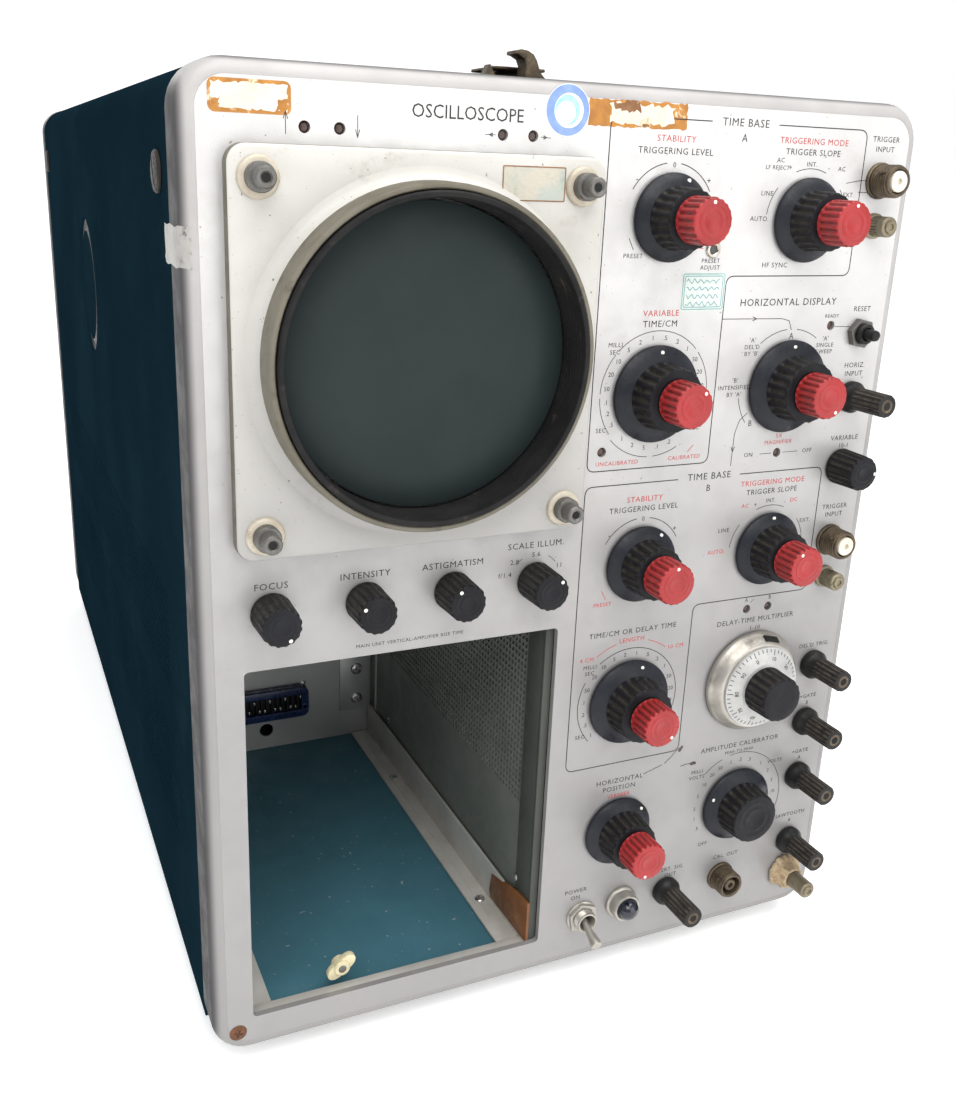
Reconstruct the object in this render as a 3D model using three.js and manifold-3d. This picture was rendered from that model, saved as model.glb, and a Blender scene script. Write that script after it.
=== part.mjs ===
// Laboratory oscilloscope with a round five-inch cathode ray tube and an empty plug-in bay.
// Millimetres, +Z up, the front panel faces -Y. The group is centred over its footprint
// and stands on its four feet at Z = 0.
import * as THREE from "three";
import { mergeVertices } from "three/addons/utils/BufferGeometryUtils.js";
import Module from "manifold-3d";

// ---- driving dimensions ----
const width = 330;              // across the two frames
const height = 415;             // frame height without the feet
const depth = 622;              // front face of the panel to the rear of the rear frame
const halfWidth = width / 2;
const cornerRadius = 17;
const frameWall = 8;
const frameDepth = 22;
const gap = 0.3;                // clearance left between neighbouring pieces
const panelThickness = 3;
const skin = 1.8;               // sheet thickness of the covers
const footHeight = 10;
const footRadius = 11;

const tube = { x: -75.5, z: 311, faceRadius: 64, neckRadius: 26, length: 425 };
const bezel = { x0: -150.3, x1: -1, z0: 235.4, z1: 387, thickness: 7.7, collar: 24, rim: 26 };
const bay = { x0: -147.3, x1: -5, z0: 18, z1: 186, depth: 246, floor: 12, wallX: -8 };
const fan = { x: 70, z: 130, radius: 66 };

// control positions on the panel: x and z of each axis
const dualKnobs = [
  { name: "level_a", x: 35.1, z: 364.5, flange: 18, body: 12.5, cap: "stability_a" },
  { name: "slope_a", x: 106, z: 364.5, flange: 18, body: 12.5, cap: "mode_a" },
  { name: "time_a", x: 35.1, z: 290.7, flange: 21.3, body: 14, cap: "variable_a" },
  { name: "display", x: 106, z: 291, flange: 21.3, body: 14, cap: "magnifier" },
  { name: "level_b", x: 35.1, z: 212.5, flange: 18, body: 12.5, cap: "stability_b" },
  { name: "slope_b", x: 106, z: 212.5, flange: 18, body: 12.5, cap: "mode_b" },
  { name: "time_b", x: 35.1, z: 143.3, flange: 21.3, body: 14, cap: "length_b" },
  { name: "position", x: 35.1, z: 73, flange: 18, body: 12.5, cap: "vernier" },
  { name: "calibrator", x: 106, z: 73, flange: 20, body: 13.5, cap: null },
];
const smallKnobs = [
  { name: "focus", x: -135.7, z: 210.5 },
  { name: "intensity", x: -96.5, z: 210.5 },
  { name: "astigmatism", x: -57.5, z: 210.5 },
  { name: "scale_illum", x: -18.5, z: 210.5 },
  { name: "variable_gain", x: 144.6, z: 250.4 },
];
const bindingPosts = [
  { name: "horizontal_input", x: 144.6, z: 284.4, length: 25 },
  { name: "delayed_trigger", x: 144.6, z: 146, length: 24 },
  { name: "gate_b", x: 144.6, z: 113.7, length: 24 },
  { name: "gate_a", x: 144.6, z: 81.8, length: 24 },
  { name: "sawtooth_a", x: 144.6, z: 42.5, length: 24 },
  { name: "vertical_signal", x: 67.8, z: 30, length: 26 },
];
const delayDial = { x: 106, z: 143, ring: 26.4, scale: 21, knob: 11.8 };
const resetButton = { x: 145, z: 314.4 };
const powerToggle = { x: 18.7, z: 27, tilt: 20 };
const bayLatch = { x: -103.7, y: 9.5, z: 25.6 };
const coverLatches = [{ name: "front", y: 45, z: 376 }, { name: "rear", y: depth - 45, z: 376 }];
const latchRadius = 8;
const handle = { front: 70, rear: 420, width: 44, rise: 5 };

// shaft sizes
const outerShaft = 3.4;
const innerShaft = 1.7;
const shaftLength = 13;

// ---- materials ----
const paint = (color, roughness, metalness) => new THREE.MeshStandardMaterial({ color, roughness, metalness });
const anodised = paint(0xb9b8b4, 0.45, 0.7);
const castFrame = paint(0xa9a8a4, 0.5, 0.7);
const blueWrinkle = paint(0x16303a, 0.7, 0.2);
const cream = paint(0xc9c5b6, 0.6, 0.1);
const blackKnob = paint(0x1b1c1f, 0.55, 0);
const redKnob = paint(0xc8352f, 0.45, 0);
const blackPlastic = paint(0x17181a, 0.5, 0);
const greenFilter = paint(0x34403e, 0.25, 0);
const glass = paint(0x9aa8a6, 0.1, 0);
const nickel = paint(0xb4b2aa, 0.3, 0.9);
const plate = paint(0x9fa19e, 0.45, 0.8);
const darkSteel = paint(0x3b3d3f, 0.5, 0.7);
const nylon = paint(0xc9b98c, 0.5, 0);
const connectorBlue = paint(0x1c2c4e, 0.45, 0);
const brownBase = paint(0x3a2418, 0.5, 0);
const strapBrown = paint(0x3c3227, 0.7, 0);
const filterGrey = paint(0x6d706c, 0.7, 0.5);

// ---- geometry helpers ----
const instrument = new THREE.Group();

function addPiece(name, geometry, material) {
  const mesh = new THREE.Mesh(geometry, material);
  mesh.name = name;
  instrument.add(mesh);
}

function block(x0, x1, y0, y1, z0, z1) {
  const geometry = new THREE.BoxGeometry(x1 - x0, y1 - y0, z1 - z0);
  return geometry.translate((x0 + x1) / 2, (y0 + y1) / 2, (z0 + z1) / 2);
}

function roundedRect(path, x0, z0, x1, z1, r) {
  path.moveTo(x0 + r, z0);
  path.lineTo(x1 - r, z0);
  path.absarc(x1 - r, z0 + r, r, -Math.PI / 2, 0, false);
  path.lineTo(x1, z1 - r);
  path.absarc(x1 - r, z1 - r, r, 0, Math.PI / 2, false);
  path.lineTo(x0 + r, z1);
  path.absarc(x0 + r, z1 - r, r, Math.PI / 2, Math.PI, false);
  path.lineTo(x0, z0 + r);
  path.absarc(x0 + r, z0 + r, r, Math.PI, 1.5 * Math.PI, false);
  return path;
}

// an outline in X and Z, pushed from y0 back to y1
function extruded(shape, y0, y1, options = {}) {
  const settings = { depth: y1 - y0, bevelEnabled: false, curveSegments: 4, ...options };
  const geometry = new THREE.ExtrudeGeometry(shape, settings);
  return geometry.rotateX(Math.PI / 2).translate(0, y1, 0);
}

// a turned piece: profile points are [radius, distance in front of the panel face],
// taken counter-clockwise whichever way they are listed, so that the faces point out
function turned(profile, x, z, segments, closed = false) {
  const points = profile.map(([radius, out]) => new THREE.Vector2(radius, out));
  if (THREE.ShapeUtils.area(points) < 0) points.reverse();
  if (closed) points.push(points[0].clone());
  const geometry = new THREE.LatheGeometry(points, segments).rotateX(Math.PI);
  return geometry.translate(x, 0, z);
}

const wasm = await Module();
wasm.setup();

function toSolid(geometry) {
  const bare = geometry.clone();
  bare.deleteAttribute("normal");
  bare.deleteAttribute("uv");
  const merged = mergeVertices(bare, 1e-4);
  const corners = Array.from(merged.index.array);
  const triVerts = [];
  for (let i = 0; i < corners.length; i += 3) {
    const [a, b, c] = corners.slice(i, i + 3);
    if (a !== b && b !== c && a !== c) triVerts.push(a, b, c);
  }
  const vertProperties = merged.attributes.position.array;
  const made = new wasm.Mesh({ numProp: 3, vertProperties, triVerts: new Uint32Array(triVerts) });
  return new wasm.Manifold(made);
}

function toGeometry(solid) {
  const { vertProperties, triVerts } = solid.getMesh();
  const geometry = new THREE.BufferGeometry();
  geometry.setAttribute("position", new THREE.BufferAttribute(vertProperties, 3));
  geometry.setIndex(new THREE.BufferAttribute(triVerts, 1));
  geometry.computeVertexNormals();
  return geometry;
}

function joined(first, ...others) {
  return toGeometry(others.reduce((sum, other) => sum.add(toSolid(other)), toSolid(first)));
}

function cut(first, ...tools) {
  return toGeometry(tools.reduce((left, tool) => left.subtract(toSolid(tool)), toSolid(first)));
}

// ---- case ----
function frameRing(y0, y1) {
  const outline = roundedRect(new THREE.Shape(), -halfWidth, 0, halfWidth, height, cornerRadius);
  const inner = [-halfWidth + frameWall, frameWall, halfWidth - frameWall, height - frameWall];
  outline.holes.push(roundedRect(new THREE.Path(), ...inner, cornerRadius - frameWall));
  return extruded(outline, y0, y1);
}

function buildFrontFrame() {
  const outline = roundedRect(new THREE.Shape(), -halfWidth + 4, 4, halfWidth - 4, height - 4, cornerRadius - 4);
  const inner = [-halfWidth + frameWall, frameWall, halfWidth - frameWall, height - frameWall];
  outline.holes.push(roundedRect(new THREE.Path(), ...inner, cornerRadius - frameWall));
  // the front edge is rounded over by a thinner lip ahead of the main ring
  addPiece("front_frame", joined(frameRing(3, frameDepth), extruded(outline, 0, 3.5)), castFrame);
}

function panelOutline(inset) {
  const margin = frameWall + inset;
  const corners = [-halfWidth + margin, margin, halfWidth - margin, height - margin];
  return roundedRect(new THREE.Shape(), ...corners, cornerRadius - frameWall);
}

function roundHole(shape, x, z, radius) {
  const hole = new THREE.Path();
  hole.absarc(x, z, radius, 0, 2 * Math.PI, true);
  shape.holes.push(hole);
}

function buildFrontPanel() {
  const outline = panelOutline(gap);
  outline.holes.push(roundedRect(new THREE.Path(), bay.x0, bay.z0, bay.x1, bay.z1, 2));
  [...dualKnobs, ...smallKnobs].forEach(({ x, z }) => roundHole(outline, x, z, outerShaft + gap + 0.3));
  bindingPosts.forEach(({ x, z }) => roundHole(outline, x, z, 2.6));
  roundHole(outline, delayDial.x, delayDial.z, outerShaft + gap + 0.3);
  roundHole(outline, resetButton.x, resetButton.z, 3.4);
  roundHole(outline, powerToggle.x, powerToggle.z, 5.2);
  // the tube looks out through a twelve-sided hole wide enough for the filter
  roundHole(outline, tube.x, tube.z, 59);
  addPiece("front_panel", extruded(outline, 0, panelThickness, { curveSegments: 5 }), anodised);
}

// side = -1 for the left cover, +1 for the right one
function buildSideCover(name, side) {
  const outer = halfWidth - 0.5;
  const inner = outer - skin;
  const bend = cornerRadius - 0.5;
  const centre = { x: outer - bend, z: height - 0.5 - bend };
  const shape = new THREE.Shape();
  shape.moveTo(outer, 6);
  shape.absarc(centre.x, centre.z, bend, 0, Math.PI / 2, false);
  shape.absarc(centre.x, centre.z, bend - skin, Math.PI / 2, 0, true);
  shape.lineTo(inner, 6);
  const sheet = extruded(shape, frameDepth + gap, depth - frameDepth - gap);
  const latchHoles = coverLatches.map(({ y, z }) => new THREE.CylinderGeometry(3.3, 3.3, 8, 10)
    .rotateZ(Math.PI / 2).translate(outer, y, z));
  const cover = cut(sheet, ...latchHoles);
  if (side < 0) cover.rotateZ(Math.PI).translate(0, depth, 0);
  addPiece(name, cover, blueWrinkle);
}

function buildLatchDisc(name, side, { y, z }) {
  const outer = halfWidth - 0.5;
  const disc = new THREE.CylinderGeometry(latchRadius, latchRadius, 2, 16).rotateZ(Math.PI / 2);
  const stud = new THREE.CylinderGeometry(2.8, 2.8, 9, 10).rotateZ(Math.PI / 2);
  const piece = joined(disc.translate(outer + gap + 1, y, z), stud.translate(outer - 3.5, y, z));
  if (side < 0) piece.rotateZ(Math.PI).translate(0, 2 * y, 0);
  addPiece(name, piece, nickel);
}

function buildTopAndBottom() {
  const inner = halfWidth - 0.5 - (cornerRadius - 0.5);
  const top = block(-inner + 1, inner - 1, frameDepth + gap, depth - frameDepth - gap, height - 2.3, height - 0.5);
  addPiece("top_cover", top, blueWrinkle);
  const reach = halfWidth - 0.5 - skin - gap;
  const tray = block(-reach, reach, frameDepth + gap, depth - frameDepth - gap, bay.floor - 2, bay.floor);
  const apron = block(-bay.wallX * -18.4, 150, 3.6, frameDepth + 1, bay.floor - 2, bay.floor);
  const feet = [];
  for (const x of [-130, 130]) {
    for (const y of [48, depth - 48]) {
      const foot = new THREE.CylinderGeometry(footRadius, footRadius - 1.5, footHeight + bay.floor - 1, 16);
      feet.push(foot.rotateX(Math.PI / 2).translate(x, y, (bay.floor - 1 - footHeight) / 2));
    }
  }
  addPiece("bottom_cover", joined(tray, apron, ...feet), blueWrinkle);
}

function buildRear() {
  const outline = panelOutline(-1);
  roundHole(outline, fan.x, fan.z, fan.radius + 6);
  const sheet = extruded(outline, depth - 16, depth - 14, { curveSegments: 6 });
  addPiece("rear_panel", joined(frameRing(depth - frameDepth, depth), sheet), castFrame);
  const edge = fan.radius + 10;
  const filter = block(fan.x - edge, fan.x + edge, depth - 13.7, depth - 3, fan.z - edge, fan.z + edge);
  addPiece("air_filter", filter, filterGrey);
}

function buildHandle() {
  const under = height + 3.5;
  const middle = (handle.front + handle.rear) / 2;
  const half = (handle.rear - handle.front) / 2;
  const line = (t, lift) => [middle + half * t, under + lift + handle.rise * (1 - t * t)];
  const shape = new THREE.Shape();
  const steps = [-1, -0.75, -0.5, -0.25, 0, 0.25, 0.5, 0.75, 1];
  steps.forEach((t, i) => (i ? shape.lineTo(...line(t, 0)) : shape.moveTo(...line(t, 0))));
  [...steps].reverse().forEach((t) => shape.lineTo(...line(t, 3.5)));
  const strap = new THREE.ExtrudeGeometry(shape, { depth: handle.width, bevelEnabled: false });
  // the outline lies in Y and Z and is pushed across X
  strap.applyMatrix4(new THREE.Matrix4().makeBasis(
    new THREE.Vector3(0, 1, 0), new THREE.Vector3(0, 0, 1), new THREE.Vector3(1, 0, 0)));
  strap.translate(-handle.width / 2, 0, 0);
  const hook = block(-9, 7, handle.front - 8, handle.front + 2, under + 1, height + 16);
  addPiece("handle_strap", joined(strap, hook), strapBrown);
}

// ---- cathode ray tube ----
function buildTube() {
  const { x, z, faceRadius, neckRadius, length } = tube;
  const outline = roundedRect(new THREE.Shape(), bezel.x0, bezel.z0, bezel.x1, bezel.z1, 7);
  const plateHole = new THREE.Path();
  plateHole.absarc(x, z, 59.6, 0, 2 * Math.PI, true);
  outline.holes.push(plateHole);
  const plateGeometry = extruded(outline, -bezel.thickness - gap, -gap, { curveSegments: 8 });
  const collarProfile = [[62.9, 6], [67.5, 6], [67, 8.6], [65.2, 10.5], [65.2, bezel.collar], [62.9, bezel.collar]];
  const collar = turned(collarProfile, x, z, 32, true);
  const recess = turned([[0, 8], [62.9, 8], [62.9, 20], [0, 20]], x, z, 32);
  addPiece("crt_bezel", toGeometry(toSolid(plateGeometry).add(toSolid(collar)).subtract(toSolid(recess))), cream);
  const hood = [[59.4, 8.3], [62.5, 8.3], [62.5, bezel.rim], [59.4, bezel.rim]];
  addPiece("crt_light_hood", turned(hood, x, z, 32, true), blackPlastic);
  addPiece("crt_filter", turned([[0, 8.2], [58.7, 8.2], [58.7, 10.2], [0, 10.2]], x, z, 32), greenFilter);

  // the envelope is open at the stem, so that its wall is one shell
  const shell = [
    [0, -4], [faceRadius - 6, -4], [faceRadius, -10], [faceRadius, -45], [neckRadius, -190],
    [neckRadius, -length + 25], [8, -length + 20], [8, -length + 23], [neckRadius - 3, -length + 28],
    [neckRadius - 3, -191], [faceRadius - 4, -46], [faceRadius - 4, -11], [0, -11],
  ];
  addPiece("crt_envelope", turned(shell, x, z, 24), glass);
  const gun = [[0, -225], [17, -225], [17, -length + 38], [6, -length + 34], [6, -length + 17], [0, -length + 17]];
  const base = [[0, -length + 18], [24, -length + 18], [24, -length - 3], [0, -length - 3]];
  addPiece("crt_gun_and_base", joined(turned(gun, x, z, 12), turned(base, x, z, 16)), brownBase);
  const socket = [[0, -length - 3.3], [27, -length - 3.3], [27, -length - 18], [0, -length - 18]];
  addPiece("crt_socket", turned(socket, x, z, 16), blackPlastic);
  const shield = [
    [faceRadius + 3, -20], [faceRadius + 5, -20], [faceRadius + 5, -60], [neckRadius + 7, -215],
    [neckRadius + 7, -length + 10], [neckRadius + 5, -length + 10], [neckRadius + 5, -214], [faceRadius + 3, -59],
  ];
  addPiece("crt_shield", turned(shield, x, z, 24, true), darkSteel);
}

// ---- inside ----
function buildBay() {
  const { wallX, depth: back, floor } = bay;
  const left = -halfWidth + 5;
  const wall = block(wallX, wallX + 1.5, panelThickness + 2, back, floor + gap, 199);
  const rear = block(left, wallX + 1, back - 1.5, back, floor + gap, 199);
  const roof = block(left, wallX + 1, frameDepth + 2, back, 197.5, 199);
  const rails = [[bay.x0 - 2, bay.x0 - 0.5], [bay.x1 - 5.5, bay.x1 - 4]].map(([x0, x1], i) => {
    const foot = i ? [x1 - 13, x1] : [x0, x0 + 13];
    const leg = block(x0, x1, panelThickness + 2, back - 1, floor + gap, 33);
    return toSolid(leg).add(toSolid(block(...foot, panelThickness + 2, back - 1, floor + gap, floor + 2)));
  });
  const sum = [wall, rear, roof].map(toSolid).concat(rails).reduce((a, b) => a.add(b));
  addPiece("bay_liner", toGeometry(sum), plate);
  const body = block(-117, -53, back - 9, back - 1.8, 35, 56);
  const slot = block(-112, -58, back - 12, back - 4, 40, 51);
  addPiece("plug_in_connector", cut(body, slot), connectorBlue);
  const lobes = new THREE.Shape();
  [[-8, 0], [-3, 5], [3, 5], [8, 0], [3, -5], [-3, -5]].forEach(([x, z], i) =>
    (i ? lobes.lineTo(bayLatch.x + x, bayLatch.z + z) : lobes.moveTo(bayLatch.x + x, bayLatch.z + z)));
  addPiece("bay_latch_cam", extruded(lobes, bayLatch.y - 3, bayLatch.y + 3), nylon);
}

function buildChassis() {
  const back = depth - frameDepth - 2;
  const centreWall = block(-3, -1.5, frameDepth + 2, back, bay.floor + gap, height - 6);
  const sheet = block(98, 99.5, 40, 500, 30, height - 15);
  const flange = block(-2, 99, 40, 500, 228, 229.5);
  addPiece("sweep_chassis", joined(centreWall, sheet, flange), plate);
  const deck = block(-halfWidth + 6, -4, 250, back, 58, 59.5);
  const apron = block(-halfWidth + 6, -halfWidth + 7.5, 250, back, 24, 59);
  addPiece("power_chassis", joined(deck, apron), plate);
  addPiece("power_transformer", block(-130, -30, 480, 585, 59.8, 162), blackPlastic);
  const motor = new THREE.CylinderGeometry(24, 24, 46, 16).translate(fan.x, 0, fan.z);
  const stem = new THREE.CylinderGeometry(3, 3, 16, 10).translate(fan.x, 30, fan.z);
  addPiece("fan_motor", joined(motor, stem).translate(0, 535, 0), darkSteel);
}

function buildFanBlade() {
  const y = 582;
  const hub = new THREE.CylinderGeometry(12, 12, 12, 12).translate(fan.x, y, fan.z);
  const bore = new THREE.CylinderGeometry(3.5, 3.5, 20, 10).translate(fan.x, y, fan.z);
  let rotor = toSolid(hub);
  for (let i = 0; i < 4; i += 1) {
    const vane = block(6, fan.radius, -0.8, 0.8, -17, 17).rotateX(0.5).rotateY((i * Math.PI) / 2);
    rotor = rotor.add(toSolid(vane.translate(fan.x, y, fan.z)));
  }
  addPiece("fan_blade", toGeometry(rotor.subtract(toSolid(bore))), plate);
}

// ---- controls ----
function buildDualKnob({ name, x, z, flange, body, cap }) {
  const bore = cap ? innerShaft + 0.5 : 0;
  const back = -shaftLength;
  const skirt = [
    [outerShaft, back], [outerShaft, 0.8], [flange, 0.8], [flange, 3],
    [body, 6], [body, 18], [bore, 18],
  ];
  const profile = cap ? [[bore, back], ...skirt] : [[0, back], ...skirt];
  addPiece("knob_" + name, turned(profile, x, z, 20, Boolean(cap)), blackKnob);
  if (!cap) return;
  const capProfile = [[0, back - 6], [innerShaft, back - 6], [innerShaft, 18.5], [9.5, 18.5], [9.5, 31], [0, 31]];
  addPiece("cap_" + cap, turned(capProfile, x, z, 20), redKnob);
}

function buildSmallKnob({ name, x, z }) {
  const profile = [[0, -shaftLength], [3, -shaftLength], [3, 0.8], [8.7, 0.8], [8.7, 17.6], [0, 17.6]];
  addPiece("knob_" + name, turned(profile, x, z, 16), blackKnob);
}

function buildBindingPost({ name, x, z, length }) {
  const profile = [
    [0, -shaftLength], [2, -shaftLength], [2, 0.6], [7.6, 0.6], [6.8, 4], [5.6, 7],
    [5.6, length], [2.1, length], [2.1, length - 16], [0, length - 16],
  ];
  addPiece("post_" + name, turned(profile, x, z, 14), blackPlastic);
}

function buildDelayDial() {
  const { x, z, ring, scale, knob } = delayDial;
  const ringProfile = [[5, 0.6], [ring, 0.6], [ring, 3], [22.5, 8.5], [5, 8.5]];
  addPiece("delay_turns_ring", turned(ringProfile, x, z, 24, true), nickel);
  // the graduated skirt and the knob are fixed on one shaft
  const knobProfile = [
    [0, -shaftLength], [outerShaft, -shaftLength], [outerShaft, 8.9], [scale, 8.9], [13.5, 12],
    [knob, 12], [knob, 26], [0, 26],
  ];
  addPiece("delay_dial", turned(knobProfile, x, z, 24), blackKnob);
}

function buildSwitches() {
  const button = [[0, -8], [2.6, -8], [2.6, 12.3], [0, 12.3]];
  addPiece("reset_button", turned(button, resetButton.x, resetButton.z, 12), blackPlastic);
  const lever = turned([[0, -3], [2, -3], [1.6, 12], [3, 16], [2.4, 18], [0, 18.4]], 0, 0, 10);
  lever.rotateX(THREE.MathUtils.degToRad(powerToggle.tilt)).translate(powerToggle.x, 0, powerToggle.z);
  addPiece("power_toggle_lever", lever, nickel);
}

buildFrontFrame();
buildFrontPanel();
buildSideCover("left_cover", -1);
buildSideCover("right_cover", 1);
for (const latch of coverLatches) {
  buildLatchDisc("left_latch_" + latch.name, -1, latch);
  buildLatchDisc("right_latch_" + latch.name, 1, latch);
}
buildTopAndBottom();
buildRear();
buildHandle();
buildTube();
buildBay();
buildChassis();
buildFanBlade();
dualKnobs.forEach(buildDualKnob);
smallKnobs.forEach(buildSmallKnob);
bindingPosts.forEach(buildBindingPost);
buildDelayDial();
buildSwitches();

// centre the footprint on the origin and stand the feet on Z = 0
const extent = new THREE.Box3().setFromObject(instrument);
instrument.position.set(0, -(extent.min.y + extent.max.y) / 2, -extent.min.z);

export default instrument;
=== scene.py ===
import math
import random

import bmesh
import bpy
from mathutils import Matrix, Vector


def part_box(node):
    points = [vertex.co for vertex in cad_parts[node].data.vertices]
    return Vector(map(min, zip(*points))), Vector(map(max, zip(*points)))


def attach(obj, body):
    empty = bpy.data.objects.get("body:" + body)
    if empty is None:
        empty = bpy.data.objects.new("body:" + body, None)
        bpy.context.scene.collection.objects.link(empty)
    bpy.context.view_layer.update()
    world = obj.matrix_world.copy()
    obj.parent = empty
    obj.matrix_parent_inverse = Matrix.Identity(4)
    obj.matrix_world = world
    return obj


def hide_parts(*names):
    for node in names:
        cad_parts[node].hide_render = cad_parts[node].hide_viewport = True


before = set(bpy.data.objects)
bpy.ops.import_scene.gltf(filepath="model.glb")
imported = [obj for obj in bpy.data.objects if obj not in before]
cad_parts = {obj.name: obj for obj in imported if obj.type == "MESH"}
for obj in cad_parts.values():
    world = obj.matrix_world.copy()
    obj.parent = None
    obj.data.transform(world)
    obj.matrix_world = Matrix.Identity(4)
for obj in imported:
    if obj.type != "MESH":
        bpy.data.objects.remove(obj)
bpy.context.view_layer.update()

mm = 0.001
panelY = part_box("front_panel")[0].y          # the printed face of the front panel
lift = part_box("front_frame")[0].z            # underside of the frames above the bench
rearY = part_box("rear_panel")[1].y
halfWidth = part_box("front_frame")[1].x
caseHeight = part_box("front_frame")[1].z - lift
depth = (rearY - panelY) / mm


def at(x, out, z):
    # millimetres right of centre, in front of the panel face, above the frame's underside
    return Vector((x * mm, panelY - out * mm, lift + z * mm))


def shaderNode(tree, kind, **settings):
    made = tree.nodes.new(kind)
    for key, value in settings.items():
        if key in made.inputs:
            made.inputs[key].default_value = value
        else:
            setattr(made, key, value)
    return made


def mixColours(tree, factor, first, second, blend="MIX"):
    mixer = shaderNode(tree, "ShaderNodeMix", data_type="RGBA", blend_type=blend)
    for socket, value in zip((mixer.inputs[0], mixer.inputs[6], mixer.inputs[7]), (factor, first, second)):
        if isinstance(value, bpy.types.NodeSocket):
            tree.links.new(value, socket)
        else:
            socket.default_value = (*value, 1) if isinstance(value, tuple) else value
    return mixer.outputs[2]


def noiseRamp(tree, coords, scale, low, high, detail=4, roughness=0.6):
    noise = shaderNode(tree, "ShaderNodeTexNoise", Scale=scale, Detail=detail, Roughness=roughness)
    tree.links.new(coords, noise.inputs["Vector"])
    ramp = shaderNode(tree, "ShaderNodeMapRange", interpolation_type="SMOOTHSTEP")
    ramp.inputs["From Min"].default_value = low
    ramp.inputs["From Max"].default_value = high
    tree.links.new(noise.outputs["Fac"], ramp.inputs["Value"])
    return ramp.outputs[0]


def maths(tree, operation, first, second=None):
    made = shaderNode(tree, "ShaderNodeMath", operation=operation)
    for socket, value in zip(made.inputs, (first, second)):
        if isinstance(value, bpy.types.NodeSocket):
            tree.links.new(value, socket)
        elif value is not None:
            socket.default_value = value
    return made.outputs[0]


def finish(name, colour, rough, metallic=0.0, second=None, mottle=(6, 0.35, 0.65), soil=None,
           soilRange=(28, 0.52, 0.72), specks=None, bump=(900, 0.05), coarse=None, groove=None, coat=0.0,
           roughSpread=0.12, extra=None, specular=0.3):
    # mottle, soilRange and specks are (scale per metre, low, high) of a noise that brings in another colour
    material = bpy.data.materials.new(name)
    material.use_nodes = True
    material.diffuse_color = (*colour, 1)
    tree = material.node_tree
    shader = tree.nodes["Principled BSDF"]
    coords = shaderNode(tree, "ShaderNodeTexCoord").outputs["Object"]
    tone = mixColours(tree, noiseRamp(tree, coords, *mottle), colour,
                      second or tuple(c * 0.8 for c in colour))
    if soil:
        tone = mixColours(tree, noiseRamp(tree, coords, *soilRange, detail=8, roughness=0.7), tone, soil)
    if specks:
        speckColour, scale, low, high = specks
        tone = mixColours(tree, noiseRamp(tree, coords, scale, low, high, detail=2), tone, speckColour)
    if groove:
        # a second colour goes where the groove attribute of the mesh is high: dust on the black grips,
        # painted shade on the red caps, a darker tone on the metal posts
        attribute = shaderNode(tree, "ShaderNodeAttribute", attribute_name="groove")
        patchy = maths(tree, "MULTIPLY", attribute.outputs["Fac"],
                       noiseRamp(tree, coords, groove[1], 0.25, 0.6))
        tone = mixColours(tree, patchy, tone, groove[0])
    if extra:
        tone = extra(tree, coords, tone)
    tree.links.new(tone, shader.inputs["Base Color"])
    shader.inputs["Metallic"].default_value = metallic
    shader.inputs["Specular IOR Level"].default_value = specular
    shader.inputs["Coat Weight"].default_value = coat
    shader.inputs["Coat Roughness"].default_value = 0.25
    spread = noiseRamp(tree, coords, mottle[0] * 5, 0.3, 0.7, detail=6)
    level = shaderNode(tree, "ShaderNodeMapRange")
    level.inputs["To Min"].default_value = max(rough - roughSpread, 0.03)
    level.inputs["To Max"].default_value = min(rough + roughSpread, 1)
    tree.links.new(spread, level.inputs["Value"])
    tree.links.new(level.outputs[0], shader.inputs["Roughness"])
    fine = shaderNode(tree, "ShaderNodeTexNoise", Scale=bump[0], Detail=3)
    tree.links.new(coords, fine.inputs["Vector"])
    relief = shaderNode(tree, "ShaderNodeBump", Strength=bump[1], Distance=0.001)
    tree.links.new(fine.outputs["Fac"], relief.inputs["Height"])
    if coarse:
        wide = shaderNode(tree, "ShaderNodeTexNoise", Scale=coarse[0], Detail=2)
        tree.links.new(coords, wide.inputs["Vector"])
        coarseRelief = shaderNode(tree, "ShaderNodeBump", Strength=coarse[1], Distance=0.001)
        tree.links.new(wide.outputs["Fac"], coarseRelief.inputs["Height"])
        tree.links.new(coarseRelief.outputs[0], relief.inputs["Normal"])
    tree.links.new(relief.outputs[0], shader.inputs["Normal"])
    return material


def wrinkled(name, colour, second):
    # wrinkle enamel: a fine crackle of ridges from Voronoi cell distances
    material = finish(name, colour, 0.62, 0.0, second, (9, 0.3, 0.7), soil=(0.011, 0.026, 0.034),
                      soilRange=(14, 0.55, 0.85),
                      specular=0.0)
    tree = material.node_tree
    shader = tree.nodes["Principled BSDF"]
    coords = next(n for n in tree.nodes if n.type == "TEX_COORD").outputs["Object"]
    warp = shaderNode(tree, "ShaderNodeTexNoise", Scale=500.0, Detail=3)
    tree.links.new(coords, warp.inputs["Vector"])
    cells = shaderNode(tree, "ShaderNodeTexVoronoi", Scale=650.0, feature="SMOOTH_F1", Smoothness=0.6)
    tree.links.new(coords, cells.inputs["Vector"])
    ridges = maths(tree, "ADD", cells.outputs["Distance"], warp.outputs["Fac"])
    relief = shaderNode(tree, "ShaderNodeBump", Strength=0.45, Distance=0.0005)
    tree.links.new(ridges, relief.inputs["Height"])
    tree.links.new(relief.outputs[0], shader.inputs["Normal"])
    return material


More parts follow.
